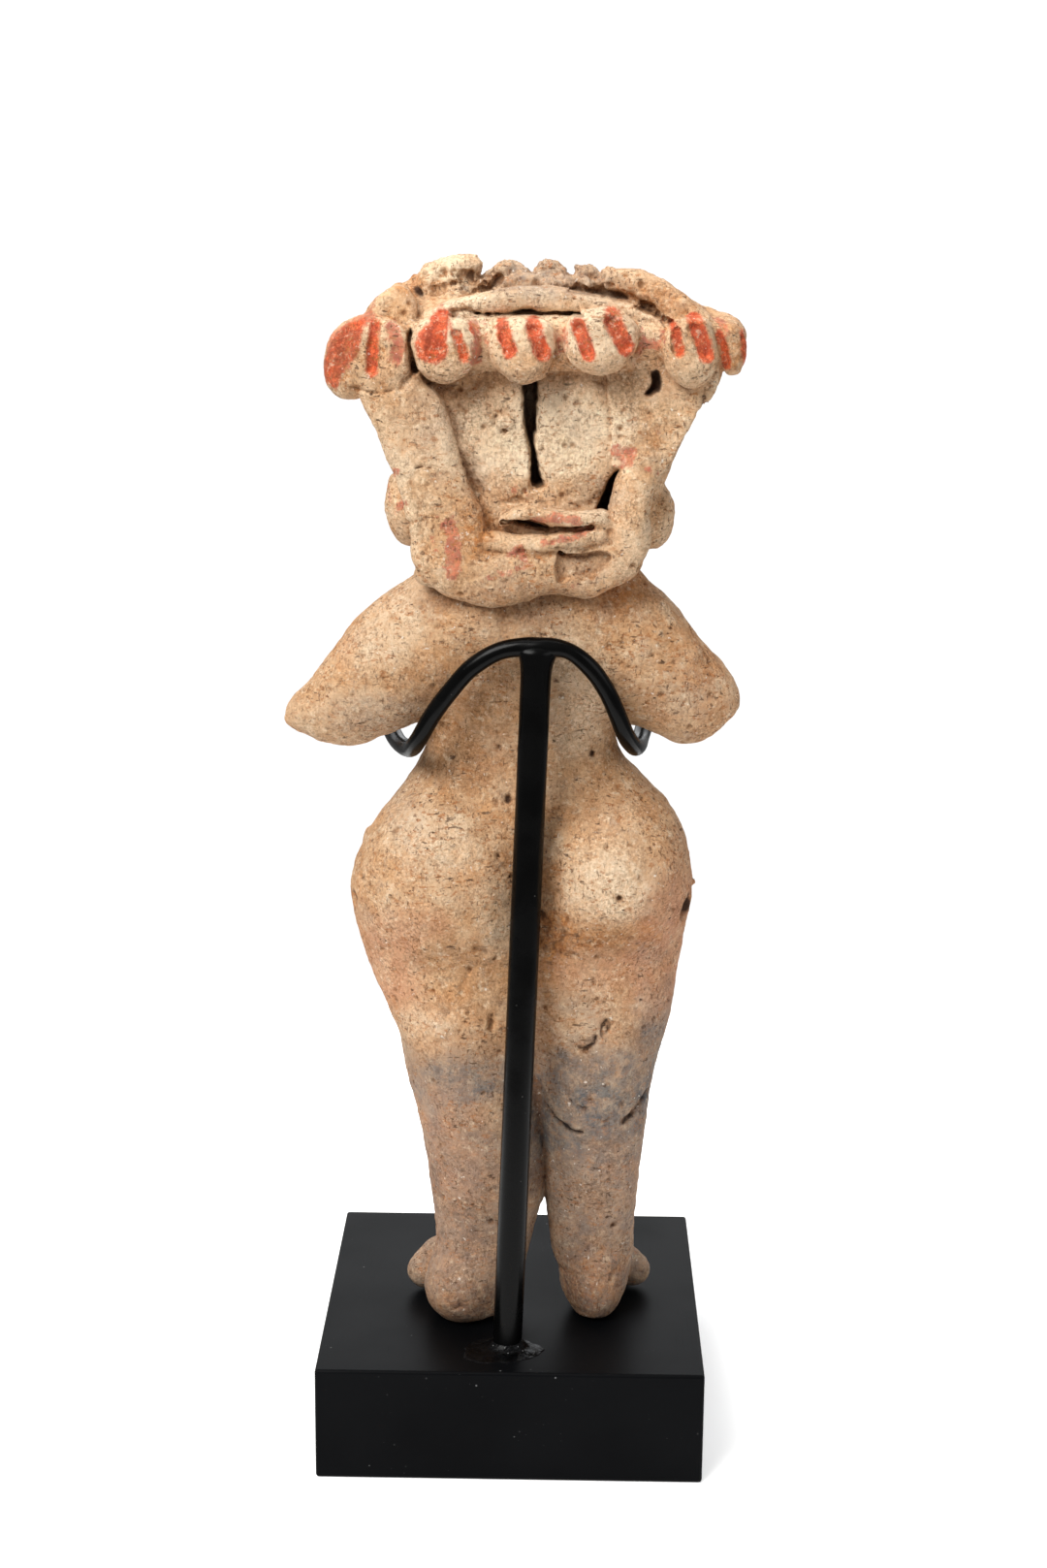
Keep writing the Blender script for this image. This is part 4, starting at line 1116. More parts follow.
def clay_material():
    m = Nodes("fired_clay")
    slip, film, smoke, grey, pale, pink, rust, hollow, proud, head, crack, dim = (
        m.attribute(n) for n in ("slip", "film", "smoke", "grey", "pale", "pink", "rust", "hollow", "proud", "head", "crack", "dim"))
    big, mid, small, grain = m.noise(14, 3), m.noise(4.2, 5, 0.62, shift=7), m.noise(1.3, 6, 0.75, shift=13), m.noise(0.5, 4, 0.75, shift=29)

    # body colour: buff to tan, creamier on the head
    tan = m.mix(m.ramp(big, 0.35, 0.65), srgb(206, 166, 126), srgb(216, 182, 146))
    tan = m.mix(m.ramp(mid, 0.34, 0.62), tan, srgb(196, 152, 110))
    cream = m.mix(m.ramp(mid, 0.35, 0.65), srgb(242, 222, 192), srgb(230, 202, 166))
    c = m.mix(m.math("MULTIPLY", head, m.ramp(pale, 0.15, 0.75, 0.22, 0.95)), tan, cream)
    # mottling: orange-tan, brown, grey and pale patches, all irregular
    c = m.mix(m.math("MULTIPLY", m.ramp(m.noise(7.0, 5, 0.66, shift=37), 0.5, 0.62), 0.55), c, srgb(208, 156, 108))
    c = m.mix(m.math("MULTIPLY", m.ramp(m.noise(3.2, 6, 0.76, shift=41), 0.52, 0.64), 0.5), c, srgb(176, 126, 84))
    c = m.mix(m.math("MULTIPLY", m.ramp(m.noise(3.8, 6, 0.74, shift=45), 0.55, 0.68), 0.35), c, srgb(172, 156, 142))
    c = m.mix(m.math("MULTIPLY", m.ramp(m.noise(2.8, 6, 0.74, shift=47), 0.54, 0.66), 0.42), c, srgb(236, 216, 188))
    c = m.mix(m.math("MULTIPLY", m.ramp(small, 0.5, 0.64), 0.45), c, srgb(176, 128, 84))
    wear = m.math("ADD", m.math("MULTIPLY", pale, 0.75), m.math("MULTIPLY", proud, 0.3), True)
    wear = m.math("MULTIPLY", wear, m.ramp(small, 0.32, 0.6, 0.3, 1.0))
    c = m.mix(wear, c, srgb(238, 216, 186))
    # pinkish skin
    c = m.mix(m.math("MULTIPLY", pink, m.ramp(mid, 0.3, 0.7, 0.45, 0.9)), c, srgb(202, 146, 116))
    # thin brown dirt
    c = m.mix(m.math("MULTIPLY", dim, m.ramp(m.noise(1.8, 6, 0.76, shift=57), 0.36, 0.6, 0.25, 0.8)), c, m.mix(m.ramp(small, 0.35, 0.65), srgb(168, 126, 88), srgb(138, 102, 72)))
    # grey-brown film
    c = m.mix(m.math("MULTIPLY", grey, m.ramp(small, 0.3, 0.66, 0.3, 0.9)), c, srgb(164, 144, 128))
    # orange-brown earth
    earth = m.mix(m.ramp(small, 0.35, 0.65), srgb(200, 136, 76), srgb(160, 98, 52))
    c = m.mix(m.math("MULTIPLY", rust, m.ramp(m.noise(1.5, 6, 0.76, shift=53), 0.4, 0.58, 0.1, 0.85)), c, earth)
    # blackening by the fire
    soot = m.mix(m.ramp(mid, 0.3, 0.7), srgb(106, 106, 106), srgb(144, 134, 122))
    soot = m.mix(m.math("MULTIPLY", m.ramp(m.noise(6.5, 6, 0.76, shift=61), 0.34, 0.64), 0.85), soot, srgb(82, 85, 91))
    soot = m.mix(m.math("MULTIPLY", m.ramp(m.noise(1.4, 5, 0.74, shift=65), 0.5, 0.68), 0.5), soot, srgb(176, 152, 126))
    c = m.mix(m.math("MULTIPLY", smoke, m.ramp(m.noise(2.6, 6, 0.76, shift=67), 0.26, 0.62, 0.42, 1.0)), c, soot)
    # dirt in hollows: brown, granular
    full = m.math("ADD", slip, m.ramp(small, 0.3, 0.7, -0.42, 0.26, "LINEAR"))
    dirt_mask = m.math("MULTIPLY", hollow, m.ramp(small, 0.34, 0.6, 0.25, 1.0))
    dirt_mask = m.math("MULTIPLY", dirt_mask, m.ramp(full, 0.0, 0.4, 1.0, 0.1))
    dirt = m.mix(m.ramp(small, 0.4, 0.6), srgb(176, 120, 72), srgb(126, 88, 58))
    c = m.mix(m.math("MULTIPLY", dirt_mask, 0.7), c, dirt)
    # worn red slip: thin film first, then the full coat in the grooves
    thin = m.math("ADD", film, m.ramp(small, 0.3, 0.7, -0.8, 0.45, "LINEAR"))
    thin_mask = m.math("MULTIPLY", m.ramp(thin, -0.15, 0.4), m.ramp(grain, 0.32, 0.6, 0.4, 0.92))
    c = m.mix(thin_mask, c, m.mix(m.ramp(m.noise(2.0, 4, 0.6, shift=69), 0.4, 0.6), srgb(200, 118, 88), srgb(170, 92, 76)))
    coat = m.mix(m.ramp(m.noise(2.2, 4, 0.6, shift=71), 0.4, 0.6), srgb(220, 92, 50), srgb(188, 74, 46))
    coat = m.mix(m.math("MULTIPLY", m.ramp(grain, 0.5, 0.68), 0.5), coat, srgb(228, 130, 86))
    coat = m.mix(m.math("MULTIPLY", m.ramp(m.noise(1.3, 5, 0.72, distortion=0.6, shift=73), 0.55, 0.66), 0.7), coat, srgb(226, 170, 134))
    coat = m.mix(m.math("MULTIPLY", m.ramp(m.noise(0.9, 4, 0.7, distortion=1.0, shift=77), 0.60, 0.68), 0.6), coat, srgb(128, 56, 40))
    coat = m.mix(m.math("MULTIPLY", dim, m.ramp(m.noise(1.6, 5, 0.7, shift=137), 0.36, 0.6, 0.3, 0.95)), coat, srgb(150, 84, 58))
    craze = m.ramp(m.cells(0.85, "DISTANCE_TO_EDGE", shift=79), 0.02, 0.08, 0.5, 0.0)
    coat = m.mix(m.math("MULTIPLY", craze, m.ramp(mid, 0.4, 0.6)), coat, srgb(140, 66, 48))
    c = m.mix(m.math("MULTIPLY", m.ramp(full, -0.2, 0.42), 0.93), c, coat)
    # specks: orange-brown and dark flecks, white grains, open pores
    flat = m.stretched((1.0, 1.0, 2.1), (0.3, 0.5, 0.2))
    steep = m.stretched((2.0, 1.2, 0.9), (0.6, 0.2, 0.9))
    fleck, dark, pore = m.noise(1.2, 4, 0.62, vector=flat, shift=83), m.noise(0.9, 4, 0.65, vector=steep, shift=89), m.noise(1.9, 5, 0.66, vector=flat, shift=101)
    where = m.ramp(m.noise(8.0, 4, 0.6, shift=121), 0.4, 0.6, 0.35, 1.0)
    bare = m.ramp(full, 0.0, 0.4, 1.0, 0.25)
    scuff, cut = m.noise(1.6, 5, 0.7, shift=125), m.noise(1.3, 3, 0.6, vector=m.stretched((0.55, 1.5, 1.9), (0.2, 0.9, 0.4)), shift=131)
    c = m.mix(m.math("MULTIPLY", m.ramp(scuff, 0.56, 0.66), m.math("SUBTRACT", 0.4, m.math("MULTIPLY", smoke, 0.3))), c, srgb(240, 220, 190))
    c = m.mix(m.math("MULTIPLY", m.math("MULTIPLY", m.ramp(fleck, 0.56, 0.62), m.math("SUBTRACT", 0.72, m.math("MULTIPLY", smoke, 0.3))), where), c, srgb(168, 108, 62))
    c = m.mix(m.math("MULTIPLY", m.math("MULTIPLY", m.ramp(dark, 0.585, 0.64), 0.75), m.math("MULTIPLY", where, bare)), c, srgb(104, 70, 48))
    c = m.mix(m.math("MULTIPLY", m.math("MULTIPLY", m.ramp(cut, 0.63, 0.67), 0.8), m.math("MULTIPLY", where, bare)), c, srgb(84, 58, 42))
    c = m.mix(m.math("MULTIPLY", m.ramp(m.noise(0.9, 3, 0.55, shift=97), 0.68, 0.73), 0.6), c, srgb(248, 240, 228))
    c = m.mix(m.math("MULTIPLY", m.math("MULTIPLY", m.ramp(pore, 0.66, 0.695), 0.85), bare), c, srgb(74, 50, 36))
    # dark inside cracks, pockets and pin holes
    c = m.mix(m.ramp(crack, 0.08, 1.0, 0.0, 0.97, "LINEAR"), c, m.mix(smoke, srgb(64, 42, 30), srgb(34, 32, 34)))
    # per-grain value change
    patchy = m.math("SUBTRACT", m.ramp(m.noise(5.5, 5, 0.66, shift=117), 0.36, 0.62, 0.22, 0.72), m.math("MULTIPLY", smoke, 0.15), True)
    c = m.mix(patchy, c, m.mix(m.ramp(grain, 0.36, 0.64), srgb(184, 170, 156), srgb(255, 255, 255, 1.14)), "MULTIPLY")
    c = m.mix(1.0, c, m.mix(head, (1.04, 1.04, 1.04, 1), (1.16, 1.16, 1.15, 1)), "MULTIPLY")
    c = m.mix(1.0, c, (0.93, 0.93, 0.92, 1), "DARKEN")
    m.set("Base Color", c)
    rough = m.ramp(mid, 0.3, 0.7, 0.80, 0.94)
    m.set("Roughness", m.math("SUBTRACT", rough, m.math("MULTIPLY", smoke, 0.12)))
    m.bsdf.inputs["Specular IOR Level"].default_value = 0.25

    coarse = m.bump(small, 0.75, 0.56)
    fine = m.bump(grain, 0.75, 0.30, coarse)
    pit = m.bump(m.ramp(pore, 0.65, 0.695, 1.0, 0.0), 0.7, 0.25, fine)
    spk = m.bump(m.math("ADD", m.ramp(dark, 0.585, 0.64, 1.0, 0.0), m.ramp(cut, 0.63, 0.67, 1.0, 0.0)), 0.6, 0.14, pit)
    m.set("Normal", spk)
    return m.mat


def acrylic_material():
    m = Nodes("black_acrylic")
    cloud, fine = m.noise(22, 3, 0.5), m.noise(0.5, 2, 0.6, shift=3)
    dust = m.ramp(m.cells(2.6, shift=2), 0.045, 0.075, 1.0, 0.0)
    dust2 = m.ramp(m.cells(1.1, shift=9), 0.05, 0.08, 1.0, 0.0)
    some = m.ramp(m.noise(9, 2, shift=15), 0.5, 0.62)
    mask = m.math("MULTIPLY", m.math("ADD", dust, m.math("MULTIPLY", dust2, 0.3), True), some)
    c = m.mix(m.ramp(cloud, 0.35, 0.65), (0.0018, 0.0019, 0.0023, 1), (0.0028, 0.0030, 0.0035, 1))
    c = m.mix(m.math("MULTIPLY", mask, 0.5), c, (0.20, 0.20, 0.20, 1))
    m.set("Base Color", c)
    scratch = m.t.nodes.new("ShaderNodeMapping")
    m.t.links.new(m.mm, scratch.inputs["Vector"])
    scratch.inputs["Rotation"].default_value = (0.2, 0.1, 0.7)
    scratch.inputs["Scale"].default_value = (6.0, 0.12, 1.0)
    lines_ = m.noise(1.0, 3, 0.7, vector=scratch.outputs[0])
    r = m.ramp(cloud, 0.3, 0.7, 0.36, 0.43)
    r = m.math("ADD", r, m.ramp(lines_, 0.62, 0.72, 0.0, 0.08))
    m.set("Roughness", m.math("ADD", r, m.math("MULTIPLY", mask, 0.2)))
    m.bsdf.inputs["Specular IOR Level"].default_value = 0.035
    m.set("Normal", m.bump(fine, 0.10, 0.02, m.bump(cloud, 0.05, 0.4)))
    return m.mat


def steel_material():
    m = Nodes("black_steel")
    peel, cloud = m.noise(0.9, 3, 0.55), m.noise(6, 3, 0.5, shift=4)
    chips = m.ramp(m.cells(7.5, shift=6), 0.03, 0.042, 1.0, 0.0)
    dust = m.math("MULTIPLY", m.ramp(m.cells(2.2, shift=21), 0.05, 0.08, 1.0, 0.0), m.ramp(m.noise(8, 2, shift=8), 0.5, 0.6))
    c = m.mix(m.ramp(cloud, 0.35, 0.65), (0.0008, 0.0008, 0.0008, 1), (0.0014, 0.0014, 0.0014, 1))
    c = m.mix(m.math("MULTIPLY", dust, 0.35), c, (0.16, 0.16, 0.15, 1))
    c = m.mix(chips, c, (0.34, 0.34, 0.33, 1))
    m.set("Base Color", c)
    m.set("Roughness", m.math("ADD", m.ramp(cloud, 0.3, 0.7, 0.20, 0.30), m.math("MULTIPLY", dust, 0.2)))
    m.bsdf.inputs["Specular IOR Level"].default_value = 0.10
    m.set("Normal", m.bump(peel, 0.16, 0.05, m.bump(cloud, 0.1, 0.25)))
    return m.mat


def glue_material():
    m = Nodes("black_glue")
    swirl = m.noise(1.7, 4, 0.6, distortion=1.4)
    fine = m.noise(0.5, 3, 0.6, shift=5)
    c = m.mix(m.ramp(swirl, 0.4, 0.62), (0.0008, 0.0008, 0.0009, 1), (0.0026, 0.0027, 0.0031, 1))
    c = m.mix(m.math("MULTIPLY", m.ramp(m.cells(1.3, shift=4), 0.05, 0.09, 1.0, 0.0), 0.6), c, (0.3, 0.3, 0.3, 1))
    m.set("Base Color", c)
    m.set("Roughness", m.ramp(swirl, 0.35, 0.7, 0.06, 0.22))
    m.bsdf.inputs["Specular IOR Level"].default_value = 0.07
    m.bsdf.inputs["Coat Weight"].default_value = 0.03
    m.bsdf.inputs["Coat Roughness"].default_value = 0.06
    m.set("Normal", m.bump(fine, 0.25, 0.1, m.bump(swirl, 0.5, 0.5)))
    return m.mat


# ------------------------------------------------------------------ the stand

ROD_FOOT, ROD_TOP = np.array([-0.6, -23.2, 20.0]), np.array([3.3, -19.2, 142.0])
CRADLE_PATH = [
    (-22.8, 8.6, 131.8), (-23.2, 7.8, 128.4), (-22.6, 4.6, 124.4), (-21.2, 0.0, 122.6), (-19.6, -5.2, 122.2), (-17.8, -10.0, 122.8),
    (-16.3, -14.2, 125.2), (-13.66, -16.85, 130.25), (-10.75, -17.9, 134.4), (-7.2, -18.7, 138.5), (-2.4, -19.1, 141.4), (3.3, -19.2, 142.0),
    (8.2, -19.1, 141.5), (11.9, -18.7, 138.7), (14.7, -17.95, 134.7), (16.5, -16.9, 130.7), (18.1, -14.6, 126.5), (19.6, -11.0, 123.8),
    (20.5, -5.6, 122.8), (21.1, 0.0, 122.9), (22.0, 4.8, 124.6), (22.8, 7.8, 128.4), (22.6, 8.6, 131.8),
]


def spline(points, count):
    """Centripetal curve through the points, resampled evenly."""
    P = [np.array(p, float) for p in points]
    P = [2 * P[0] - P[1]] + P + [2 * P[-1] - P[-2]]
    out = []
    for a, b, c, d in zip(P[:-3], P[1:-2], P[2:-1], P[3:]):
        t0 = 0.0
        t1 = t0 + np.linalg.norm(b - a) ** 0.5
        t2 = t1 + np.linalg.norm(c - b) ** 0.5
        t3 = t2 + np.linalg.norm(d - c) ** 0.5
        for t in np.linspace(t1, t2, 24, endpoint=False):
            a1 = (t1 - t) / (t1 - t0) * a + (t - t0) / (t1 - t0) * b
            a2 = (t2 - t) / (t2 - t1) * b + (t - t1) / (t2 - t1) * c
            a3 = (t3 - t) / (t3 - t2) * c + (t - t2) / (t3 - t2) * d
            b1 = (t2 - t) / (t2 - t0) * a1 + (t - t0) / (t2 - t0) * a2
            b2 = (t3 - t) / (t3 - t1) * a2 + (t - t1) / (t3 - t1) * a3
            out.append((t2 - t) / (t2 - t1) * b1 + (t - t1) / (t2 - t1) * b2)
    out = np.array(out + [P[-2]])
    s = np.r_[0, np.cumsum(np.linalg.norm(np.diff(out, axis=0), axis=1))]
    u = np.linspace(0, s[-1], count)
    return np.stack([np.interp(u, s, out[:, a]) for a in range(3)], 1)


def tube(name, path, radius, sides, cap_round=True):
    """A closed tube along the path; radius is a function of (index, angle array)."""
    n = len(path)
    tan = np.gradient(path, axis=0)
    tan /= np.linalg.norm(tan, axis=1, keepdims=True)
    up = np.cross(tan[0], [0, 0, 1.0])
    up /= np.linalg.norm(up)
    ang = np.linspace(0, 2 * math.pi, sides, endpoint=False)
    pts, faces = [], []
    for i in range(n):
        up = up - tan[i] * (up @ tan[i])
        up /= np.linalg.norm(up)
        side = np.cross(tan[i], up)
        r = radius(i, ang)
        pts += list(path[i] + (np.cos(ang) * r)[:, None] * up + (np.sin(ang) * r)[:, None] * side)
    for i in range(n - 1):
        for k in range(sides):
            a, b = i * sides + k, i * sides + (k + 1) % sides
            faces.append((a, b, b + sides, a + sides))
    for end, row in ((0, 0), (1, n - 1)):
        t = -tan[0] if end == 0 else tan[-1]
        ring = [row * sides + k for k in range(sides)]
        base = path[row]
        r0 = float(np.mean(radius(row, ang)))
        for h, q in (((0.35, 0.94), (0.62, 0.78), (0.85, 0.5)) if cap_round else ((0.03, 0.96),)):
            new = [len(pts) + k for k in range(sides)]
            pts += [base + (np.array(pts[j]) - base) * q + t * r0 * h * (0.8 if cap_round else 1) for j in (row * sides + k for k in range(sides))]
            for k in range(sides):
                f = (ring[k], ring[(k + 1) % sides], new[(k + 1) % sides], new[k])
                faces.append(f if end else f[::-1])
            ring = new
        tip = len(pts)
        pts.append(base + t * r0 * (0.78 if cap_round else 0.03))
        for k in range(sides):
            f = (ring[k], ring[(k + 1) % sides], tip)
            faces.append(f if end else f[::-1])
    return mesh_object(name, pts, faces)


def build_cradle():
    path = spline(CRADLE_PATH, 300)
    mid = int(np.argmin(np.linalg.norm(path - ROD_TOP, axis=1)))
    rng = np.random.RandomState(3)
    dents = [(rng.randint(20, 280), rng.uniform(0.02, 0.05)) for _ in range(8)]

    def radius(i, ang):
        r = 1.5 + 0.012 * math.sin(i * 0.21) + 0.01 * math.sin(i * 0.083 + 2)
        for at, d in dents:
            r -= d * math.exp(-((i - at) / 5.0) ** 2)
        # run of the weld along the wire over the rod
        r = r + 0.16 * math.exp(-((i - mid) / 9.0) ** 2) + 0.05 * np.sin(3 * ang + i * 0.5) * math.exp(-((i - mid) / 7.0) ** 2)
        return r * np.ones_like(ang)
    return tube("cradle_wire", path, radius, 20)


def build_rod():
    """The leaning rod; its top swells into the weld that takes the wire."""
    sides, rows = 40, []
    axis = (ROD_TOP - ROD_FOOT) / (ROD_TOP[2] - ROD_FOOT[2])
    up = axis / np.linalg.norm(axis)
    ex = np.cross([0, 1.0, 0], up)
    ex /= np.linalg.norm(ex)
    ey = np.cross(up, ex)
    ang = np.linspace(0, 2 * math.pi, sides, endpoint=False)
    zs = list(np.linspace(-11.4, 0.0, 4)) + list(np.linspace(2.0, 112, 60)) + list(np.linspace(113, 122.6, 36))
    pts = []
    for h in zs:
        base = ROD_FOOT + axis * h
        under = 122.0 - h              # distance below the wire's axis
        t = max(0.0, 1 - max(under - 0.4, 0) / 5.0)
        wide = 1 + 0.42 * t ** 2.4     # the fillet spreads along the wire
        deep = 1 - 0.10 * t ** 2.0
        top = smooth_step((h - 121.0) / 2.4)
        wide, deep = wide * (1 - 0.5 * top), deep * (1 - 0.6 * top)
        wave = 1 + 0.006 * np.sin(2 * ang + h * 0.11) + 0.035 * t * np.sin(3 * ang + 1.3) + 0.02 * t * np.sin(5 * ang + h)
        c, s = np.cos(ang), np.sin(ang)
        pts += list(base + (c * 2.5 * wide * wave)[:, None] * ex + (s * 2.5 * deep * wave)[:, None] * ey)
    faces, n = [], len(zs)
    for i in range(n - 1):
        for k in range(sides):
            a, b = i * sides + k, i * sides + (k + 1) % sides
            faces.append((a, b, b + sides, a + sides))
    lo, hi = len(pts), len(pts) + 1
    pts += [ROD_FOOT + axis * (zs[0] - 0.2), ROD_FOOT + axis * (zs[-1] + 0.25)]
    for k in range(sides):
        faces.append(((k + 1) % sides, k, lo))
        faces.append(((n - 1) * sides + k, (n - 1) * sides + (k + 1) % sides, hi))
    return mesh_object("rod_post", pts, faces)


def build_base():
    """The acrylic block: rounded broken edges, a blind hole under the glue."""
    w, h, r, seg = 33.0, 20.0, 0.55, 3
    bm_pts, faces = [], []
    # rings of a rounded box, from the underside up
    arcs = [(r * (1 - math.cos(a)), r * (1 - math.sin(a))) for a in np.linspace(math.pi / 2, 0, seg + 1)]
    low = [(w - r + r * math.sin(a), r - r * math.cos(a)) for a in np.linspace(0, math.pi / 2, seg + 1)]
    high = [(w - r + r * math.cos(a), h - r + r * math.sin(a)) for a in np.linspace(0, math.pi / 2, seg + 1)]
    mids = [(w, r + (h - 2 * r) * t) for t in (0.25, 0.5, 0.75)]
    rings = low + mids + high
    side, corner = 12, 4

    def ring(half, z):
        inset = 33.0 - half
        rc = max(r - inset, 0.02)
        c = half - rc
        out = []
        for q in range(4):
            a0 = math.pi * (q * 0.5 - 0.5)
            cx, cy = [(c, -c), (c, c), (-c, c), (-c, -c)][q]
            for k in range(corner + 1):
                a = a0 + (math.pi / 2) * k / corner
                out.append((cx + rc * math.cos(a), cy + rc * math.sin(a), z))
            nx, ny = [(c, c), (-c, c), (-c, -c), (c, -c)][q]
            a1 = a0 + math.pi / 2
            p0 = np.array([cx + rc * math.cos(a1), cy + rc * math.sin(a1)])
            p1 = np.array([nx + rc * math.cos(a1), ny + rc * math.sin(a1)])
            for k in range(1, side):
                p = p0 + (p1 - p0) * k / side
                out.append((p[0], p[1], z))
        return out
    n = None
    for half, z in rings:
        q = ring(half, z)
        n = len(q)
        bm_pts += q
    for i in range(len(rings) - 1):
        for k in range(n):
            a, b = i * n + k, i * n + (k + 1) % n
            faces.append((a, b, b + n, a + n))
    # underside: fan; top: ring round the hole, then the hole's wall and floor
    c0 = len(bm_pts)
    bm_pts.append((0, 0, 0.0))
    for k in range(n):
        faces.append(((k + 1) % n, k, c0))
    top_start = (len(rings) - 1) * n
    outer = [top_start + k for k in range(n)]
    hx, hy = ROD_FOOT[0], ROD_FOOT[1]
    hole = []
    for k in range(n):
        p = np.array(bm_pts[outer[k]][:2]) - np.array([hx, hy])
        p = p / np.linalg.norm(p) * 2.85
        hole.append(len(bm_pts))
        bm_pts.append((hx + p[0], hy + p[1], h))
    for k in range(n):
        faces.append((outer[k], outer[(k + 1) % n], hole[(k + 1) % n], hole[k]))
    axis = (ROD_TOP - ROD_FOOT) / (ROD_TOP[2] - ROD_FOOT[2])
    deep = []
    for k in range(n):
        p = np.array(bm_pts[hole[k]]) - axis * 12.6
        deep.append(len(bm_pts))
        bm_pts.append(tuple(p))
    for k in range(n):
        faces.append((hole[k], hole[(k + 1) % n], deep[(k + 1) % n], deep[k]))
    cf = len(bm_pts)
    bm_pts.append((hx - axis[0] * 12.6, hy - axis[1] * 12.6, h - 12.6))
    for k in range(n):
        faces.append((deep[k], deep[(k + 1) % n], cf))
    o = mesh_object("base_block", bm_pts, faces, smooth=True)
    # flat faces stay flat: shade smooth only across the small edges
    me = o.data
    flat = [p.area > 6e-6 or abs(p.normal.z) > 0.999 for p in me.polygons]
    me.polygons.foreach_set("use_smooth", [not f for f in flat])
    me.update()
    return o


def build_glue():
    """An uneven puddle of glue that climbs the rod a little."""
    rings, sides = 44, 144
    cx, cy = -1.5, -24.6
    rx, ry = 6.6, 5.0
    ang = np.linspace(0, 2 * math.pi, sides, endpoint=False)
    edge = 1 + 0.06 * np.sin(2 * ang + 0.4) + 0.05 * np.sin(3 * ang + 2.1) + 0.03 * np.sin(5 * ang + 1.0) + 0.02 * np.sin(9 * ang) + 0.012 * np.sin(17 * ang + 0.7)
    hx, hy = ROD_FOOT[0], ROD_FOOT[1]
    inner = 2.55
    pts = []
    for i in range(rings + 1):
        t = i / rings
        for k, a in enumerate(ang):
            ox, oy = cx + rx * edge[k] * math.cos(a), cy + ry * edge[k] * math.sin(a)
            ix, iy = hx + inner * math.cos(a), hy + inner * math.sin(a)
            x, y = ix + (ox - ix) * t, iy + (oy - iy) * t
            hgt = 1.15 * math.exp(-((t) / 0.16) ** 1.2) + 0.34 * (1 - t) ** 0.6
            p = np.array([[x * 1.0, y * 1.0, 3.0]])
            hgt += (0.26 * float(noise(p, 2.3, 5)[0]) + 0.12 * float(noise(p, 1.1, 6)[0])) * (1 - t) * min(1, t * 5)
            hgt = max(hgt, 0.04) * (1 if t < 1 else 0)
            if t > 0.9:
                hgt = max(hgt, 0.10 * math.sqrt(max(1 - t, 0) / 0.1))
            pts.append((x, y, 20.02 + hgt))
    faces = []
    for i in range(rings):
        for k in range(sides):
            a, b = i * sides + k, i * sides + (k + 1) % sides
            faces.append((a, a + sides, b + sides, b))
    # a closed body: an underside just above the block
    under = len(pts)
    for i in (rings, 0):
        for k in range(sides):
            p = pts[i * sides + k]
            pts.append((p[0], p[1], 20.0))
    for k in range(sides):
        k2 = (k + 1) % sides
        o0, o1 = rings * sides + k, rings * sides + k2
        u0, u1 = under + k, under + k2
        v0, v1 = under + sides + k, under + sides + k2
        faces.append((o0, u0, u1, o1))
        faces.append((u0, v0, v1, u1))
        faces.append((v0, k, k2, v1))
    return mesh_object("glue_film", pts, faces)


# ------------------------------------------------------------------ build the pieces

clay, acrylic, steel, glue = clay_material(), acrylic_material(), steel_material(), glue_material()

body = colour_fields(build_body())
body.data.materials.append(clay)
head = colour_fields(build_head())
head.data.materials.append(clay)
base = build_base()
base.data.materials.append(acrylic)
rod = build_rod()
rod.data.materials.append(steel)
cradle = build_cradle()
cradle.data.materials.append(steel)
glue_film = build_glue()
glue_film.data.materials.append(glue)

for piece, node, slot in ((body, "figure", "fired_clay"), (head, "figure", "fired_clay"), (base, "base", "black_acrylic"), (rod, "post", "black_steel"),
                          (cradle, "cradle", "black_steel"), (glue_film, "foot_adhesive", "black_glue")):
    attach(piece, "root")
    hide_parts(node)

# ------------------------------------------------------------------ floor, light and camera

n = Nodes("floor_white")
soft = n.noise(60, 2)
n.set("Base Color", n.mix(n.ramp(soft, 0.3, 0.7), (0.93, 0.93, 0.93, 1), (0.95, 0.95, 0.95, 1)))
n.bsdf.inputs["Roughness"].default_value = 0.9
n.bsdf.inputs["Specular IOR Level"].default_value = 0.1
n.bsdf.inputs["Emission Color"].default_value = (1, 1, 1, 1)
n.bsdf.inputs["Emission Strength"].default_value = 0.30
floor_pts, floor_faces, R, S = [], [], 0.22, 96
floor_pts.append((0, 0, -0.02))
for k in range(S):
    floor_pts.append((1000 * R * math.cos(2 * math.pi * k / S), 1000 * R * math.sin(2 * math.pi * k / S), -0.02))
for k in range(S):
    floor_faces.append((0, 1 + k, 1 + (k + 1) % S))
floor = mesh_object("floor", floor_pts, floor_faces, False)
floor.data.materials.append(n.mat)

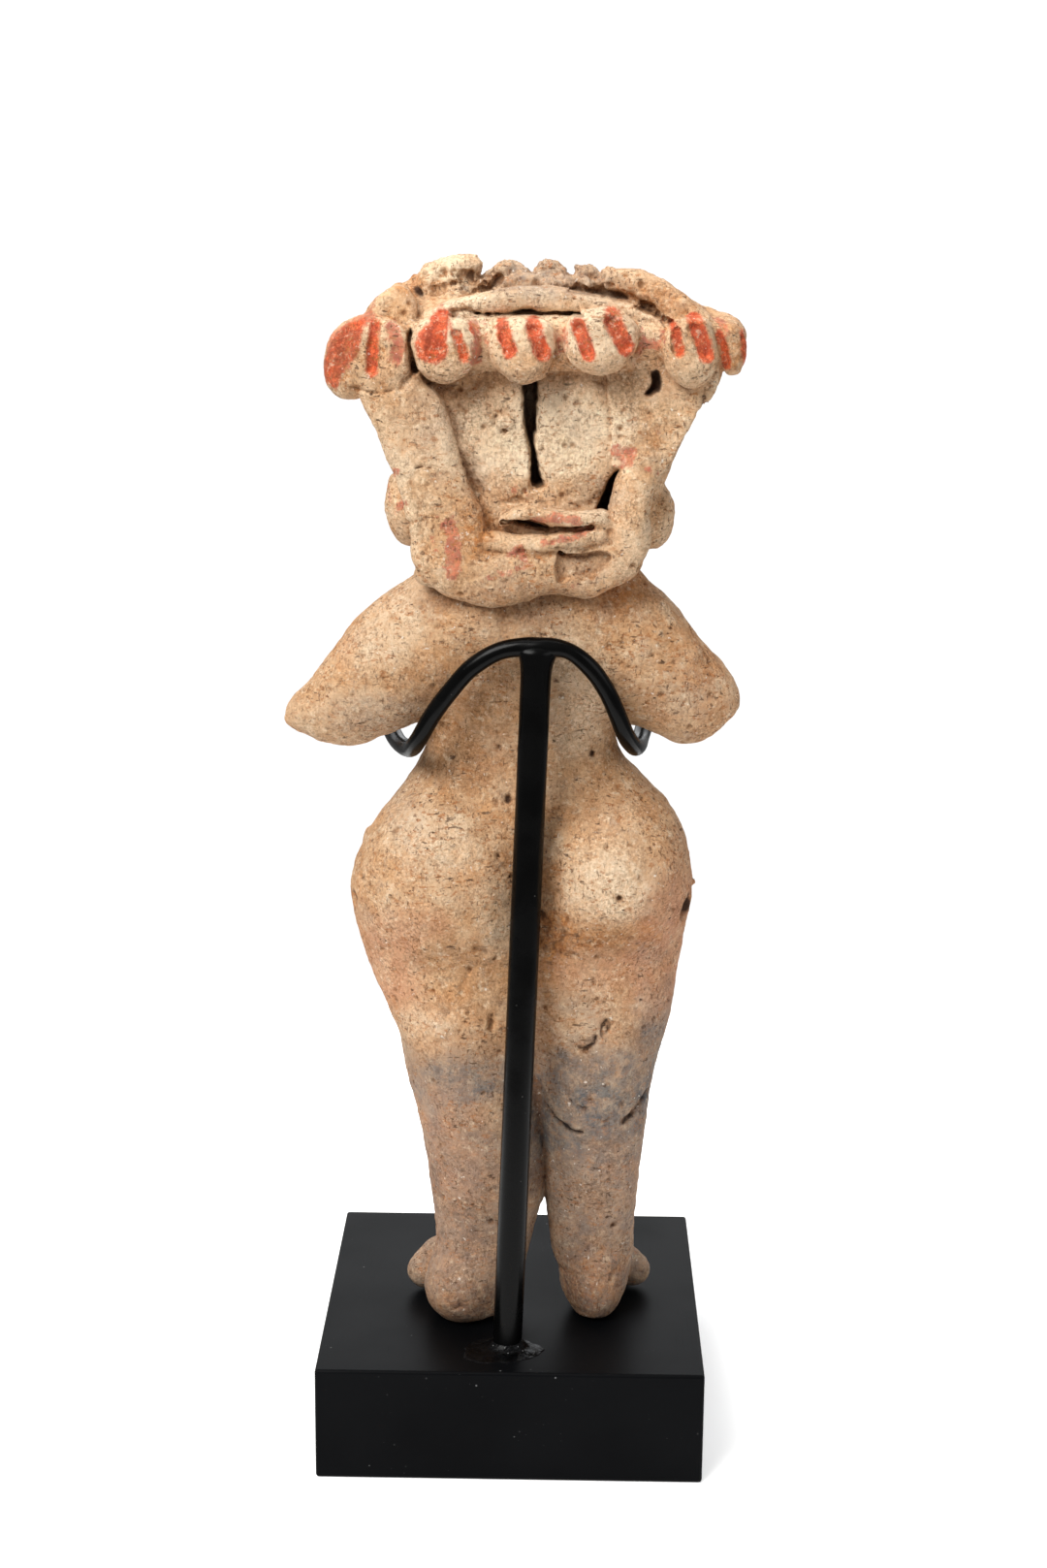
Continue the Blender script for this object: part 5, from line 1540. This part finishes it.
world = bpy.data.worlds.new("studio")
scene.world = world
world.use_nodes = True
wt = world.node_tree
wt.nodes.clear()
wo = wt.nodes.new("ShaderNodeOutputWorld")
mixs = wt.nodes.new("ShaderNodeMixShader")
lit, seen = wt.nodes.new("ShaderNodeBackground"), wt.nodes.new("ShaderNodeBackground")
lit.inputs[0].default_value, lit.inputs[1].default_value = (1.0, 1.0, 1.0, 1), 0.30
seen.inputs[0].default_value, seen.inputs[1].default_value = (1.0, 1.0, 1.0, 1), 1.05
path_node = wt.nodes.new("ShaderNodeLightPath")
wt.links.new(path_node.outputs["Is Camera Ray"], mixs.inputs[0])
wt.links.new(lit.outputs[0], mixs.inputs[1])
wt.links.new(seen.outputs[0], mixs.inputs[2])
wt.links.new(mixs.outputs[0], wo.inputs[0])


def area_light(name, place, target, size, power, colour=(1, 1, 1)):
    data = bpy.data.lights.new(name, "AREA")
    data.shape = "RECTANGLE"
    data.size, data.size_y = size
    data.energy = power
    data.color = colour
    o = bpy.data.objects.new(name, data)
    scene.collection.objects.link(o)
    o.location = place
    o.rotation_euler = (Vector(target) - Vector(place)).to_track_quat("-Z", "Y").to_euler()
    return o


area_light("key", (-0.50, -0.60, 0.86), (0, 0, 0.12), (0.60, 0.60), 15.0, (1.0, 0.99, 0.965))
area_light("fill", (0.85, -0.45, 0.50), (0, 0, 0.12), (0.6, 0.6), 2.2, (0.98, 0.99, 1.0))
area_light("top", (0.0, 0.10, 0.95), (0, 0, 0.12), (0.7, 0.5), 3.8)
area_light("backdrop", (0.0, 0.85, 0.44), (0, 0, 0.02), (1.3, 0.5), 4.0, (0.95, 0.975, 1.0)).visible_camera = False

cam_data = bpy.data.cameras.new("camera")
cam = bpy.data.objects.new("camera", cam_data)
scene.collection.objects.link(cam)
cam_data.lens, cam_data.sensor_width, cam_data.sensor_fit = 56.68, 36.0, "AUTO"
cam_data.clip_start, cam_data.clip_end = 0.01, 20.0
right, up_v, back_v = (0.99984978, 0.01492775, 0.00880792), (-0.01214616, 0.24092994, 0.9704665), (0.01236479, -0.9704277, 0.24107506)
cam.matrix_world = Matrix(((right[0], up_v[0], back_v[0], 0.00632419), (right[1], up_v[1], back_v[1], -0.41332804), (right[2], up_v[2], back_v[2], 0.21702390), (0, 0, 0, 1)))
scene.camera = cam
scene.view_settings.view_transform = "Standard"
scene.view_settings.look = "None"
